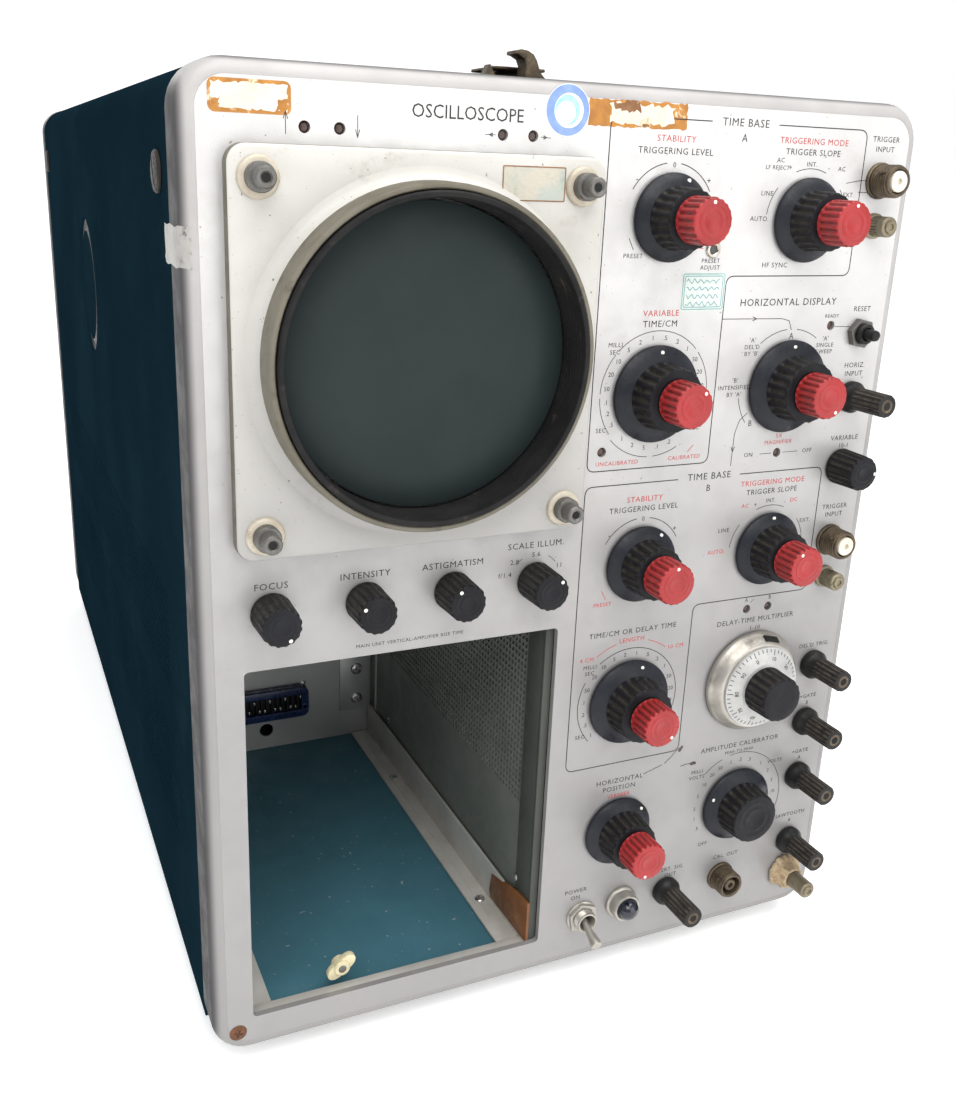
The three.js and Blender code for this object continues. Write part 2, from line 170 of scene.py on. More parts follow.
def shadeLowAndStains(tree, coords, tone):
    # painted shade makes the panel greyer low down; it is also stained in cloudy streaks
    split = shaderNode(tree, "ShaderNodeSeparateXYZ")
    tree.links.new(coords, split.inputs[0])
    low = shaderNode(tree, "ShaderNodeMapRange", interpolation_type="SMOOTHSTEP")
    low.inputs["From Min"].default_value = 0.41
    low.inputs["From Max"].default_value = 0.16
    tree.links.new(split.outputs["Z"], low.inputs["Value"])
    paintedLowShade = mixColours(tree, maths(tree, "MULTIPLY", low.outputs[0], 0.9), tone, (0.265, 0.26, 0.26))
    cloud = noiseRamp(tree, coords, 22, 0.5, 0.78, detail=9, roughness=0.75)
    return mixColours(tree, maths(tree, "MULTIPLY", cloud, 0.3), paintedLowShade, (0.34, 0.31, 0.27))


def paintedSideShade(tree, coords, tone):
    # painted shade: the casting is darkened on its outer sides and top, where it turns away from the light
    tone = shadeLowAndStains(tree, coords, tone)
    split = shaderNode(tree, "ShaderNodeSeparateXYZ")
    tree.links.new(coords, split.inputs[0])
    for value, low, high in ((maths(tree, "ABSOLUTE", split.outputs["X"]), 0.1612, 0.1652),
                             (split.outputs["Z"], 0.4230, 0.4254)):
        edge = shaderNode(tree, "ShaderNodeMapRange", interpolation_type="SMOOTHSTEP")
        edge.inputs["From Min"].default_value = low
        edge.inputs["From Max"].default_value = high
        tree.links.new(value, edge.inputs["Value"])
        tone = mixColours(tree, maths(tree, "MULTIPLY", edge.outputs[0], 0.94), tone, (0.040, 0.038, 0.040))
    return tone


materials = {
    "panelMetal": finish("panelMetal", (0.60, 0.595, 0.59), 0.42, 0.35, (0.54, 0.535, 0.53), (18, 0.3, 0.7),
                         specks=((0.25, 0.22, 0.19), 420, 0.70, 0.76), bump=(2600, 0.12),
                         extra=shadeLowAndStains),
    "frameMetal": finish("frameMetal", (0.43, 0.42, 0.415), 0.42, 0.1, (0.35, 0.34, 0.335), (14, 0.3, 0.7),
                         soil=(0.30, 0.27, 0.245), soilRange=(60, 0.62, 0.80), bump=(1800, 0.15),
                         coarse=(120, 0.10),
                         extra=paintedSideShade, specular=0.02),
    "bluePaint": wrinkled("bluePaint", (0.0062, 0.0185, 0.0280), (0.0045, 0.0135, 0.0205)),
    "bayFloorPaint": finish("bayFloorPaint", (0.052, 0.150, 0.195), 0.45, 0, (0.042, 0.122, 0.158),
                            (12, 0.3, 0.7),
                            soil=(0.10, 0.16, 0.17), soilRange=(30, 0.6, 0.8),
                            specks=((0.30, 0.34, 0.33), 300, 0.71, 0.74),
                            bump=(1400, 0.25)),
    "creamPaint": finish("creamPaint", (0.54, 0.53, 0.50), 0.5, 0, (0.48, 0.47, 0.44), (14, 0.3, 0.7),
                         soil=(0.33, 0.29, 0.235), soilRange=(55, 0.58, 0.82),
                         specks=((0.16, 0.12, 0.09), 520, 0.70, 0.75),
                         bump=(700, 0.08), extra=shadeLowAndStains),
    "blackKnob": finish("blackKnob", (0.0055, 0.0055, 0.007), 0.45, 0, (0.0105, 0.011, 0.014),
                        (60, 0.3, 0.7),
                        groove=((0.046, 0.041, 0.034), 260), bump=(1200, 0.12), specular=0.16),
    "knobSkirt": finish("knobSkirt", (0.0115, 0.0125, 0.017), 0.38, 0, (0.018, 0.0195, 0.025),
                        (90, 0.3, 0.7),
                        soil=(0.055, 0.052, 0.050), soilRange=(170, 0.6, 0.85), bump=(900, 0.08),
                        specular=0.2),
    # the darker red in the flutes is painted shade
    "redKnob": finish("redKnob", (0.32, 0.017, 0.019), 0.38, 0, (0.25, 0.013, 0.014), (70, 0.3, 0.7),
                      groove=((0.10, 0.012, 0.012), 400), bump=(900, 0.06), specular=0.4),
    "blackPlastic": finish("blackPlastic", (0.009, 0.009, 0.010), 0.40, 0, (0.018, 0.0175, 0.017),
                           (80, 0.3, 0.7),
                           soil=(0.08, 0.066, 0.052), soilRange=(150, 0.62, 0.88),
                           groove=((0.09, 0.075, 0.06), 300),
                           bump=(900, 0.10), specular=0.18),
    "hoodBlack": finish("hoodBlack", (0.009, 0.009, 0.010), 0.55, 0, (0.016, 0.0155, 0.015), (50, 0.3, 0.7),
                        soil=(0.13, 0.10, 0.075), soilRange=(90, 0.58, 0.84), bump=(700, 0.12),
                        specular=0.12),
    "greenFilter": finish("greenFilter", (0.0185, 0.0255, 0.0255), 0.5, 0, (0.0215, 0.0285, 0.0285),
                          (10, 0.3, 0.7),
                          soil=(0.034, 0.046, 0.042), soilRange=(60, 0.62, 0.95), bump=(300, 0.02),
                          specular=0.10),
    "nickel": finish("nickel", (0.47, 0.45, 0.40), 0.32, 0.9, (0.34, 0.31, 0.26), (140, 0.3, 0.7),
                     soil=(0.16, 0.12, 0.08), soilRange=(260, 0.56, 0.76), bump=(1200, 0.08)),
    "brightMetal": finish("brightMetal", (0.62, 0.61, 0.59), 0.28, 0.95, (0.50, 0.49, 0.47), (90, 0.3, 0.7),
                          soil=(0.25, 0.20, 0.15), soilRange=(200, 0.62, 0.8), bump=(1000, 0.06)),
    "agedMetal": finish("agedMetal", (0.125, 0.095, 0.062), 0.48, 0.6, (0.065, 0.05, 0.036),
                        (190, 0.3, 0.7),
                        soil=(0.22, 0.185, 0.13), soilRange=(330, 0.57, 0.77),
                        groove=((0.05, 0.036, 0.026), 300),
                        bump=(900, 0.2)),
    "studMetal": finish("studMetal", (0.15, 0.147, 0.140), 0.45, 0.6, (0.125, 0.12, 0.11), (150, 0.3, 0.7),
                        soil=(0.10, 0.09, 0.075), soilRange=(260, 0.54, 0.76),
                        groove=((0.07, 0.06, 0.05), 300),
                        bump=(900, 0.15)),
    # dust and painted shade: the dark taupe of the collar's side and of the plate's edges
    "dustyCream": finish("dustyCream", (0.112, 0.101, 0.075), 0.6, 0, (0.145, 0.133, 0.104),
                         (40, 0.35, 0.65),
                         soil=(0.080, 0.070, 0.052), soilRange=(90, 0.52, 0.74), bump=(700, 0.12)),
    "champagne": finish("champagne", (0.44, 0.42, 0.38), 0.40, 0.75, (0.36, 0.34, 0.305), (60, 0.3, 0.7),
                        soil=(0.24, 0.20, 0.15), soilRange=(120, 0.62, 0.86), bump=(900, 0.06)),
    "satinSilver": finish("satinSilver", (0.47, 0.47, 0.46), 0.48, 0.5, (0.40, 0.40, 0.39), (60, 0.3, 0.7),
                          bump=(900, 0.05)),
    "creamWasher": finish("creamWasher", (0.50, 0.46, 0.38), 0.5, 0.2, (0.40, 0.35, 0.27), (130, 0.3, 0.7),
                          soil=(0.19, 0.15, 0.10), soilRange=(150, 0.56, 0.78), bump=(900, 0.08)),
    "darkLatch": finish("darkLatch", (0.050, 0.045, 0.040), 0.5, 0.5, (0.030, 0.028, 0.026),
                        (120, 0.3, 0.7),
                        soil=(0.12, 0.085, 0.055), soilRange=(200, 0.56, 0.76), bump=(900, 0.2),
                        specular=0.1),
    "groundMetal": finish("groundMetal", (0.25, 0.22, 0.15), 0.45, 0.6, (0.17, 0.145, 0.10),
                          (150, 0.3, 0.7),
                          soil=(0.08, 0.065, 0.045), soilRange=(260, 0.56, 0.78),
                          groove=((0.07, 0.06, 0.04), 300),
                          bump=(900, 0.15)),
    "rust": finish("rust", (0.20, 0.085, 0.04), 0.8, 0.1, (0.10, 0.05, 0.03), (400, 0.3, 0.7),
                   bump=(1500, 0.6)),
    "ivory": finish("ivory", (0.72, 0.69, 0.60), 0.5, 0, (0.58, 0.53, 0.42), (160, 0.3, 0.7),
                    bump=(900, 0.05)),
    "nylon": finish("nylon", (0.62, 0.57, 0.38), 0.45, 0, (0.50, 0.44, 0.28), (160, 0.3, 0.7),
                    soil=(0.20, 0.15, 0.09), soilRange=(240, 0.6, 0.8), bump=(900, 0.08)),
    "sheetMetal": finish("sheetMetal", (0.50, 0.50, 0.49), 0.42, 0.55, (0.42, 0.42, 0.41), (12, 0.3, 0.7),
                         soil=(0.30, 0.28, 0.25), soilRange=(40, 0.6, 0.82), bump=(1500, 0.10)),
    # painted shade: a dark copy of the bay's sheet metal for the fold that lies in shadow
    "bayFold": finish("bayFold", (0.070, 0.075, 0.068), 0.5, 0.1, (0.055, 0.060, 0.053), (20, 0.3, 0.7),
                      bump=(1500, 0.10),
                      specular=0.1),
    "bayWallMetal": finish("bayWallMetal", (0.215, 0.225, 0.205), 0.45, 0.3, (0.17, 0.18, 0.16),
                           (14, 0.3, 0.7),
                           soil=(0.22, 0.19, 0.15), soilRange=(36, 0.58, 0.82), bump=(1500, 0.10)),
    "railMetal": finish("railMetal", (0.60, 0.585, 0.55), 0.42, 0.4, (0.50, 0.485, 0.45), (26, 0.3, 0.7),
                        soil=(0.38, 0.33, 0.26), soilRange=(60, 0.66, 0.9), bump=(1500, 0.12)),
    "darkSteel": finish("darkSteel", (0.10, 0.10, 0.105), 0.45, 0.7, (0.07, 0.07, 0.072), (30, 0.3, 0.7),
                        bump=(900, 0.12)),
    "connectorBlue": finish("connectorBlue", (0.012, 0.028, 0.10), 0.32, 0, (0.010, 0.020, 0.07),
                            (60, 0.3, 0.7),
                            bump=(800, 0.05), coat=0.2),
    "brownBoard": finish("brownBoard", (0.21, 0.085, 0.028), 0.42, 0, (0.13, 0.05, 0.018), (45, 0.3, 0.7),
                         soil=(0.30, 0.17, 0.09), soilRange=(80, 0.58, 0.8), bump=(1200, 0.1)),
    "strapHide": finish("strapHide", (0.060, 0.048, 0.034), 0.62, 0, (0.035, 0.028, 0.020), (60, 0.3, 0.7),
                        soil=(0.16, 0.13, 0.09), soilRange=(140, 0.56, 0.8), bump=(900, 0.4),
                        coarse=(160, 0.3)),
    "rubber": finish("rubber", (0.020, 0.020, 0.021), 0.75, 0, (0.035, 0.034, 0.033), (60, 0.3, 0.7),
                     bump=(900, 0.2)),
    "ink": finish("ink", (0.020, 0.019, 0.020), 0.55, 0, (0.05, 0.048, 0.046), (500, 0.45, 0.75),
                  bump=(900, 0.02)),
    "redInk": finish("redInk", (0.43, 0.040, 0.040), 0.55, 0, (0.42, 0.06, 0.05), (500, 0.45, 0.75),
                     bump=(900, 0.02)),
    "whiteInk": finish("whiteInk", (0.78, 0.77, 0.72), 0.5, 0, (0.62, 0.60, 0.54), (500, 0.45, 0.75),
                       bump=(900, 0.02)),
    # painted shade: a near-black finish put where the inside of a hole lies in shadow
    "holeDark": finish("holeDark", (0.006, 0.006, 0.006), 0.7, 0, bump=(900, 0.02)),
    "neonLens": finish("neonLens", (0.055, 0.022, 0.014), 0.2, 0, (0.035, 0.015, 0.010), (200, 0.3, 0.7),
                       coat=0.4),
    "jewel": finish("jewel", (0.002, 0.003, 0.010), 0.12, 0, (0.004, 0.007, 0.022), (200, 0.3, 0.7),
                    coat=0.8, roughSpread=0.04),
}
print("materials made")

# distances in metres under which corners are merged, and angles in degrees above which an edge stays sharp
meshSpec = {"turnedWeld": 1e-6, "sheetWeld": 1e-7, "punchedWeld": 2e-6, "turnedSmooth": 38,
            "sheetSmooth": 30,
            "gripSmooth": 50, "joinedSmooth": 35}


def newObject(name, mesh, finishes=()):
    piece = bpy.data.objects.new(name, mesh)
    bpy.context.scene.collection.objects.link(piece)
    for key in finishes:
        piece.data.materials.append(materials[key])
    return piece


def meshFrom(name, verts, faces, finishes=("sheetMetal",), smoothAngle=None):
    mesh = bpy.data.meshes.new(name)
    mesh.from_pydata([tuple(v) for v in verts], [], faces)
    mesh.validate()
    piece = newObject(name, mesh, finishes)
    if smoothAngle:
        shadeSmooth(piece, smoothAngle)
    return piece


def shadeSmooth(piece, angle=35):
    piece.data.shade_smooth()
    piece.data.set_sharp_from_angle(angle=math.radians(angle))


def facesOut(mesh, weld=0.0):
    # merges corners closer than weld metres, then points every face outwards
    work = bmesh.new()
    work.from_mesh(mesh)
    if weld:
        bmesh.ops.remove_doubles(work, verts=work.verts, dist=weld)
    bmesh.ops.recalc_face_normals(work, faces=work.faces)
    work.to_mesh(mesh)
    work.free()


def bakeModifiers(piece):
    bpy.context.view_layer.update()
    evaluated = piece.evaluated_get(bpy.context.evaluated_depsgraph_get())
    mesh = bpy.data.meshes.new_from_object(evaluated)
    piece.modifiers.clear()
    if piece.type == "MESH":
        old = piece.data
        piece.data = mesh
        bpy.data.meshes.remove(old)
        return piece
    made = newObject(piece.name + "Mesh", mesh)
    bpy.data.objects.remove(piece)
    return made


def bevelEdges(piece, width, segments=2, angle=40):
    bevel = piece.modifiers.new("edges", "BEVEL")
    bevel.width = width * mm
    bevel.segments = segments
    bevel.limit_method = "ANGLE"
    bevel.angle_limit = math.radians(angle)
    bevel.harden_normals = False
    return bakeModifiers(piece)


def joinPieces(name, pieces):
    verts, faces, marks, smooth = [], [], [], []
    finishes, grooves = [], []
    for piece in pieces:
        base = len(verts)
        verts += [piece.matrix_world @ v.co for v in piece.data.vertices]
        groove = piece.data.attributes.get("groove")
        grooves += [d.value for d in groove.data] if groove else [0.0] * len(piece.data.vertices)
        slots = []
        for material in piece.data.materials:
            if material not in finishes:
                finishes.append(material)
            slots.append(finishes.index(material))
        for face in piece.data.polygons:
            faces.append([base + i for i in face.vertices])
            marks.append(slots[face.material_index] if slots else 0)
            smooth.append(face.use_smooth)
    mesh = bpy.data.meshes.new(name)
    mesh.from_pydata([tuple(v) for v in verts], [], faces)
    for material in finishes:
        mesh.materials.append(material)
    mesh.polygons.foreach_set("material_index", marks)
    mesh.polygons.foreach_set("use_smooth", smooth)
    if any(grooves):
        mesh.attributes.new("groove", "FLOAT", "POINT").data.foreach_set("value", grooves)
    for piece in pieces:
        bpy.data.objects.remove(piece)
    joined = newObject(name, mesh)
    mesh.set_sharp_from_angle(angle=math.radians(meshSpec["joinedSmooth"]))
    return joined


def extentOf(node):
    # left, right, front, rear, low and high of a node of the frame, in millimetres: the depths count from
    # the panel backwards, the heights from the frame's underside
    low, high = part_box(node)
    return (low.x / mm, high.x / mm, (low.y - panelY) / mm, (high.y - panelY) / mm, (low.z - lift) / mm,
            (high.z - lift) / mm)


def turnBy(degrees, axis):
    return Matrix.Rotation(math.radians(degrees), 4, axis)


def shift(x, y, z):
    return Matrix.Translation((x * mm, y * mm, z * mm))


def place(piece, body, slot, *replaced):
    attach(piece, body)
    if replaced:
        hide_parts(*replaced)
    return piece


def moved(piece, matrix):
    piece.data.transform(matrix)
    return piece


def box(name, low, high, finishes, bevel=0.0, segments=2):
    # corners are in millimetres, as at() takes them
    a, b = at(*low), at(*high)
    lo = [min(p, q) for p, q in zip(a, b)]
    hi = [max(p, q) for p, q in zip(a, b)]
    verts = [(x, y, z) for x in (lo[0], hi[0]) for y in (lo[1], hi[1]) for z in (lo[2], hi[2])]
    faces = [(0, 1, 3, 2), (4, 6, 7, 5), (0, 4, 5, 1), (2, 3, 7, 6), (0, 2, 6, 4), (1, 5, 7, 3)]
    piece = meshFrom(name, verts, faces, finishes)
    return bevelEdges(piece, bevel, segments) if bevel else piece


def slab(name, size, finishKey, bevel=0.0):
    # a block centred on the origin, its size in millimetres
    x, y, z = (s / 2 * mm for s in size)
    verts = [(i, j, k) for i in (-x, x) for j in (-y, y) for k in (-z, z)]
    faces = [(0, 1, 3, 2), (4, 6, 7, 5), (0, 4, 5, 1), (2, 3, 7, 6), (0, 2, 6, 4), (1, 5, 7, 3)]
    piece = meshFrom(name, verts, faces, (finishKey,))
    return bevelEdges(piece, bevel) if bevel else piece


def turned(name, profile, finishes, segments=48, closed=False):
    # profile points are (radius, height) along +Z, in millimetres, with an optional finish index
    verts, faces, marks = [], [], []
    count = len(profile)
    for i in range(segments):
        angle = 2 * math.pi * i / segments
        verts += [(p[0] * mm * math.cos(angle), p[0] * mm * math.sin(angle), p[1] * mm) for p in profile]
    last = count if closed else count - 1
    for i in range(segments):
        a, b = i * count, (i + 1) % segments * count
        for j in range(last):
            k = (j + 1) % count
            faces.append((a + j, b + j, b + k, a + k))
            marks.append(profile[j][2] if len(profile[j]) > 2 else 0)
    mesh = bpy.data.meshes.new(name)
    mesh.from_pydata(verts, [], faces)
    mesh.polygons.foreach_set("material_index", marks)
    facesOut(mesh, meshSpec["turnedWeld"])
    piece = newObject(name, mesh, finishes)
    shadeSmooth(piece, meshSpec["turnedSmooth"])
    return piece


def faceOut(x, z, out=0.0, spin=0.0):
    # stands a piece made along +Z on the panel at (x, z), pointing to the viewer
    spot = Matrix.Translation(at(x, out, z))
    return spot @ turnBy(90, "X") @ turnBy(-spin, "Z")


def roundedOutline(x0, z0, x1, z1, radius, steps=8):
    points = []
    for cx, cz, start in ((x1 - radius, z0 + radius, -90), (x1 - radius, z1 - radius, 0),
                          (x0 + radius, z1 - radius, 90), (x0 + radius, z0 + radius, 180)):
        for i in range(steps + 1):
            angle = math.radians(start + 90 * i / steps)
            points.append((cx + radius * math.cos(angle), cz + radius * math.sin(angle)))
    return points


def circleOutline(x, z, radius, steps=32):
    return [(x + radius * math.cos(2 * math.pi * i / steps), z + radius * math.sin(2 * math.pi * i / steps))
            for i in range(steps)]


def flatSheet(name, outlines, thickness, finishes, bevel=0.0, segments=2):
    # a plate in X and Y with holes, its top at Z = 0: the first outline is the edge, the others are holes
    curve = bpy.data.curves.new(name, "CURVE")
    curve.dimensions = "2D"
    curve.fill_mode = "BOTH"
    curve.extrude = (thickness / 2 - bevel) * mm
    curve.bevel_depth = bevel * mm
    curve.bevel_resolution = segments - 1
    curve.offset = -bevel * mm
    for outline in outlines:
        spline = curve.splines.new("POLY")
        spline.points.add(len(outline) - 1)
        for point, (x, y) in zip(spline.points, outline):
            point.co = (x * mm, y * mm, 0, 1)
        spline.use_cyclic_u = True
    piece = bpy.data.objects.new(name, curve)
    bpy.context.scene.collection.objects.link(piece)
    made = bakeModifiers(piece)
    made.name = name
    made.data.transform(shift(0, 0, -thickness / 2))
    facesOut(made.data, meshSpec["sheetWeld"])
    made.data.materials.clear()
    for key in finishes:
        made.data.materials.append(materials[key])
    shadeSmooth(made, meshSpec["sheetSmooth"])
    return made


def onPanel(out=0.0):
    # turns a flat sheet made in X and Y (as x and z millimetres) to face the viewer
    return Matrix.Translation(at(0, out, 0)) @ turnBy(90, "X")


def ringSweep(name, outline, profile, finishes):
    # profile points are (inset from the outline, depth behind the panel face); the section is closed
    count = len(outline)
    verts, faces = [], []
    for i, (x, z) in enumerate(outline):
        before, after = outline[i - 1], outline[(i + 1) % count]
        tangent = Vector((after[0] - before[0], after[1] - before[1])).normalized()
        inward = Vector((-tangent.y, tangent.x))
        for inset, back in profile:
            verts.append(at(x + inward.x * inset, -back, z + inward.y * inset))
    n = len(profile)
    for i in range(count):
        a, b = i * n, (i + 1) % count * n
        for j in range(n):
            k = (j + 1) % n
            faces.append((a + j, a + k, b + k, b + j))
    piece = meshFrom(name, verts, faces, finishes)
    facesOut(piece.data)
    shadeSmooth(piece, 40)
    return piece


def newTree(name, inputs):
    tree = bpy.data.node_groups.new(name, "GeometryNodeTree")
    tree.interface.new_socket("Geometry", in_out="INPUT", socket_type="NodeSocketGeometry")
    for label, kind, value in inputs:
        socket = tree.interface.new_socket(label, in_out="INPUT", socket_type="NodeSocket" + kind)
        if value is not None:
            socket.default_value = value
    tree.interface.new_socket("Geometry", in_out="OUTPUT", socket_type="NodeSocketGeometry")
    return tree, tree.nodes.new("NodeGroupInput"), tree.nodes.new("NodeGroupOutput")


def addNode(tree, kind, links=None, **settings):
    made = tree.nodes.new(kind)
    for key, value in settings.items():
        setattr(made, key, value)
    for key, value in (links or {}).items():
        socket = made.inputs[key]
        if isinstance(value, bpy.types.NodeSocket):
            tree.links.new(value, socket)
        else:
            socket.default_value = value
    return made


def runTree(name, tree, values, mesh=None):
    # runs a node tree on a mesh, or on an empty one, and keeps the plain result
    piece = newObject(name, mesh or bpy.data.meshes.new(name))
    modifier = piece.modifiers.new("shape", "NODES")
    modifier.node_group = tree
    identifiers = {item.name: item.identifier for item in tree.interface.items_tree if item.in_out == "INPUT"}
    for label, value in values.items():
        modifier[identifiers[label]] = value
    return bakeModifiers(piece)


def makeFlutedTree():
    # a turned grip whose side is cut by round flutes; radius and height follow two curves of the profile
    tree, source, result = newTree("flutedGrip", [
        ("Flutes", "Int", 16), ("Flute Depth", "Float", 0.001), ("Flute Start", "Float", 0.2),
        ("Flute End", "Float", 0.8), ("Sides", "Int", 192), ("Rows", "Int", 17),
        ("Sharpness", "Float", 2.0),
        ("Top Radius", "Float", 0.01), ("Base Radius", "Float", 0.01), ("Length", "Float", 0.016),
        ("Edge Round", "Float", 0.001), ("Finish", "Material", None)])
    grid = addNode(tree, "GeometryNodeMeshGrid",
                   {"Size X": 1.0, "Size Y": 1.0, "Vertices X": source.outputs["Sides"],
                                                  "Vertices Y": source.outputs["Rows"]})
    place_ = addNode(tree, "GeometryNodeInputPosition")
    split = addNode(tree, "ShaderNodeSeparateXYZ", {0: place_.outputs[0]})

    def calc(operation, a, b=0.0, c=0.0):
        return addNode(tree, "ShaderNodeMath", {0: a, 1: b, 2: c}, operation=operation).outputs[0]

    angle = calc("MULTIPLY", calc("ADD", split.outputs[0], 0.5), 2 * math.pi)
    along = calc("ADD", split.outputs[1], 0.5)
    # along 0..0.7 climbs the side, 0.7..0.85 rounds the rim, 0.85..1 closes the top
    climb = calc("MINIMUM", calc("DIVIDE", along, 0.7), 1.0)
    rim = calc("MINIMUM", calc("MAXIMUM", calc("DIVIDE", calc("SUBTRACT", along, 0.7), 0.15), 0.0), 1.0)
    top = calc("MAXIMUM", calc("DIVIDE", calc("SUBTRACT", along, 0.85), 0.15), 0.0)
    sweep = calc("MULTIPLY", rim, math.pi / 2)
    edge = source.outputs["Edge Round"]
    side = calc("ADD", calc("MULTIPLY", source.outputs["Base Radius"], calc("SUBTRACT", 1.0, climb)),
                calc("MULTIPLY", source.outputs["Top Radius"], climb))
    rounded = calc("SUBTRACT", side, calc("MULTIPLY", edge, calc("SUBTRACT", 1.0, calc("COSINE", sweep))))
    radius = calc("MULTIPLY", rounded, calc("SUBTRACT", 1.0, top))
    tall = calc("ADD", calc("MULTIPLY", climb, calc("SUBTRACT", source.outputs["Length"], edge)),
                calc("MULTIPLY", edge, calc("SINE", sweep)))
    wave = calc("ADD", calc("MULTIPLY", calc("COSINE", calc("MULTIPLY", angle, source.outputs["Flutes"])),
                            0.5), 0.5)
    cutShape = calc("POWER", wave, source.outputs["Sharpness"])
    fadeIn = calc("MINIMUM", calc("MAXIMUM", calc("MULTIPLY", calc("SUBTRACT", along,
                                                                   source.outputs["Flute Start"]), 12.0),
                                  0.0), 1.0)
    fadeOut = calc("MINIMUM", calc("MAXIMUM", calc("MULTIPLY", calc("SUBTRACT", source.outputs["Flute End"],
                                                                    along), 12.0), 0.0), 1.0)
    grooveDepth = calc("MULTIPLY", calc("MULTIPLY", fadeIn, fadeOut), cutShape)
    finalRadius = calc("SUBTRACT", radius, calc("MULTIPLY", grooveDepth, source.outputs["Flute Depth"]))
    spot = addNode(tree, "ShaderNodeCombineXYZ", {0: calc("MULTIPLY", calc("COSINE", angle), finalRadius),
                                                  1: calc("MULTIPLY", calc("SINE", angle), finalRadius),
                                                  2: tall})
    marked = addNode(tree, "GeometryNodeStoreNamedAttribute",
                     {"Geometry": grid.outputs[0], "Name": "groove",
                                                               "Value": grooveDepth}, domain="POINT",
                                                               data_type="FLOAT")
    shaped = addNode(tree, "GeometryNodeSetPosition",
                     {"Geometry": marked.outputs[0], "Position": spot.outputs[0]})
    welded = addNode(tree, "GeometryNodeMergeByDistance", {"Geometry": shaped.outputs[0], "Distance": 1e-6})
    real = addNode(tree, "GeometryNodeRealizeInstances", {"Geometry": welded.outputs[0]})
    painted = addNode(tree, "GeometryNodeSetMaterial",
                      {"Geometry": real.outputs[0], "Material": source.outputs["Finish"]})
    tree.links.new(painted.outputs[0], result.inputs[0])
    return tree


flutedTree = makeFlutedTree()


def closeBottom(piece):
    work = bmesh.new()
    work.from_mesh(piece.data)
    rim = [e for e in work.edges if e.is_boundary]
    if rim:
        bmesh.ops.holes_fill(work, edges=rim, sides=0)
    bmesh.ops.recalc_face_normals(work, faces=work.faces)
    work.to_mesh(piece.data)
    work.free()
    shadeSmooth(piece, meshSpec["gripSmooth"])
    return piece


def flutedGrip(name, spec, finishKey):
    values = {"Flutes": spec["flutes"], "Flute Depth": spec["fluteDepth"] * mm,
              "Flute Start": spec.get("start", 0.04),
              "Flute End": spec.get("end", 0.84), "Sides": spec["flutes"] * spec.get("steps", 10) + 1,
              "Rows": spec.get("rows", 21), "Sharpness": spec.get("sharp", 1.2),
              "Top Radius": spec["radius"] * mm,
              "Base Radius": spec.get("baseRadius", spec["radius"]) * mm, "Length": spec["length"] * mm,
              "Edge Round": spec.get("edge", 1.0) * mm, "Finish": materials[finishKey]}
    return closeBottom(runTree(name, flutedTree, values))


def makeScatterTree():
    # copies one small piece onto every point of a cloud, each turned by its own angle about the cloud's axis
    tree, source, result = newTree("repeatOnPoints", [
        ("Piece", "Object", None), ("Turn", "Float", 0.0), ("Seed", "Int", 3),
        ("Finish", "Material", None)])
    piece = addNode(tree, "GeometryNodeObjectInfo", {"Object": source.outputs["Piece"]})
    spin = addNode(tree, "FunctionNodeRandomValue", {"Seed": source.outputs["Seed"]}, data_type="FLOAT")
    angle = addNode(tree, "ShaderNodeMath", {0: spin.outputs[1], 1: source.outputs["Turn"]},
                    operation="MULTIPLY")
    turn = addNode(tree, "ShaderNodeCombineXYZ", {2: angle.outputs[0]})
    cloud = addNode(tree, "GeometryNodeMeshToPoints", {"Mesh": source.outputs["Geometry"]})
    copies = addNode(tree, "GeometryNodeInstanceOnPoints", {"Points": cloud.outputs[0],
                                                            "Instance": piece.outputs["Geometry"],
                                                            "Rotation": turn.outputs[0]})
    real = addNode(tree, "GeometryNodeRealizeInstances", {"Geometry": copies.outputs[0]})
    painted = addNode(tree, "GeometryNodeSetMaterial",
                      {"Geometry": real.outputs[0], "Material": source.outputs["Finish"]})
    tree.links.new(painted.outputs[0], result.inputs[0])
    return tree


scatterTree = makeScatterTree()


def repeated(name, template, points, matrix, finishKey, turn=0.0, seed=3):
    # template is used up; points are in the template's own frame, in millimetres
    mesh = bpy.data.meshes.new(name)
    mesh.from_pydata([tuple(c * mm for c in p) for p in points], [], [])
    made = runTree(name, scatterTree, {"Piece": template, "Turn": turn, "Seed": seed,
                                       "Finish": materials[finishKey]},
                   mesh)
    bpy.data.objects.remove(template)
    made.data.transform(matrix)
    shadeSmooth(made, 35)
    return made

cameraSpec = {"place": (-235.8, 404.28, 380.28), "lens": 36.45, "shift": (0.01446, -0.02145),
              "right": (0.91599, -0.39975, 0.03410), "up": (0.09203, 0.29208, 0.95195),
              "back": (-0.39050, -0.86884, 0.30433)}


def makeCamera():
    data = bpy.data.cameras.new("camera")
    data.sensor_width = 36
    data.sensor_fit = "AUTO"
    data.lens = cameraSpec["lens"]
    data.shift_x, data.shift_y = cameraSpec["shift"]
    data.clip_end = 50
    camera = bpy.data.objects.new("camera", data)
    bpy.context.scene.collection.objects.link(camera)
    turn = Matrix((cameraSpec["right"], cameraSpec["up"], cameraSpec["back"])).transposed()
    camera.matrix_world = Matrix.Translation(at(*cameraSpec["place"])) @ turn.to_4x4()
    bpy.context.scene.camera = camera


studioSpec = {"floor": (0.93, 0.93, 0.93), "paperGlow": 0.28, "world": (0.95, 0.97, 1.0),
              "worldStrength": 0.62,
              # name, place in metres, size, watts, colour
              "lamps": [("keyLamp", (-0.55, -1.5, 1.9), 1.5, 34, (1.0, 0.98, 0.95)),
                        ("topLamp", (0.5, -0.6, 2.3), 1.6, 34, (1.0, 0.99, 0.97)),
                        ("sideLamp", (-2.1, 0.2, 1.2), 1.6, 4, (0.94, 0.97, 1.0)),
                        ("lowLamp", (0.8, -1.9, 0.7), 1.4, 12, (1.0, 0.98, 0.96))]}


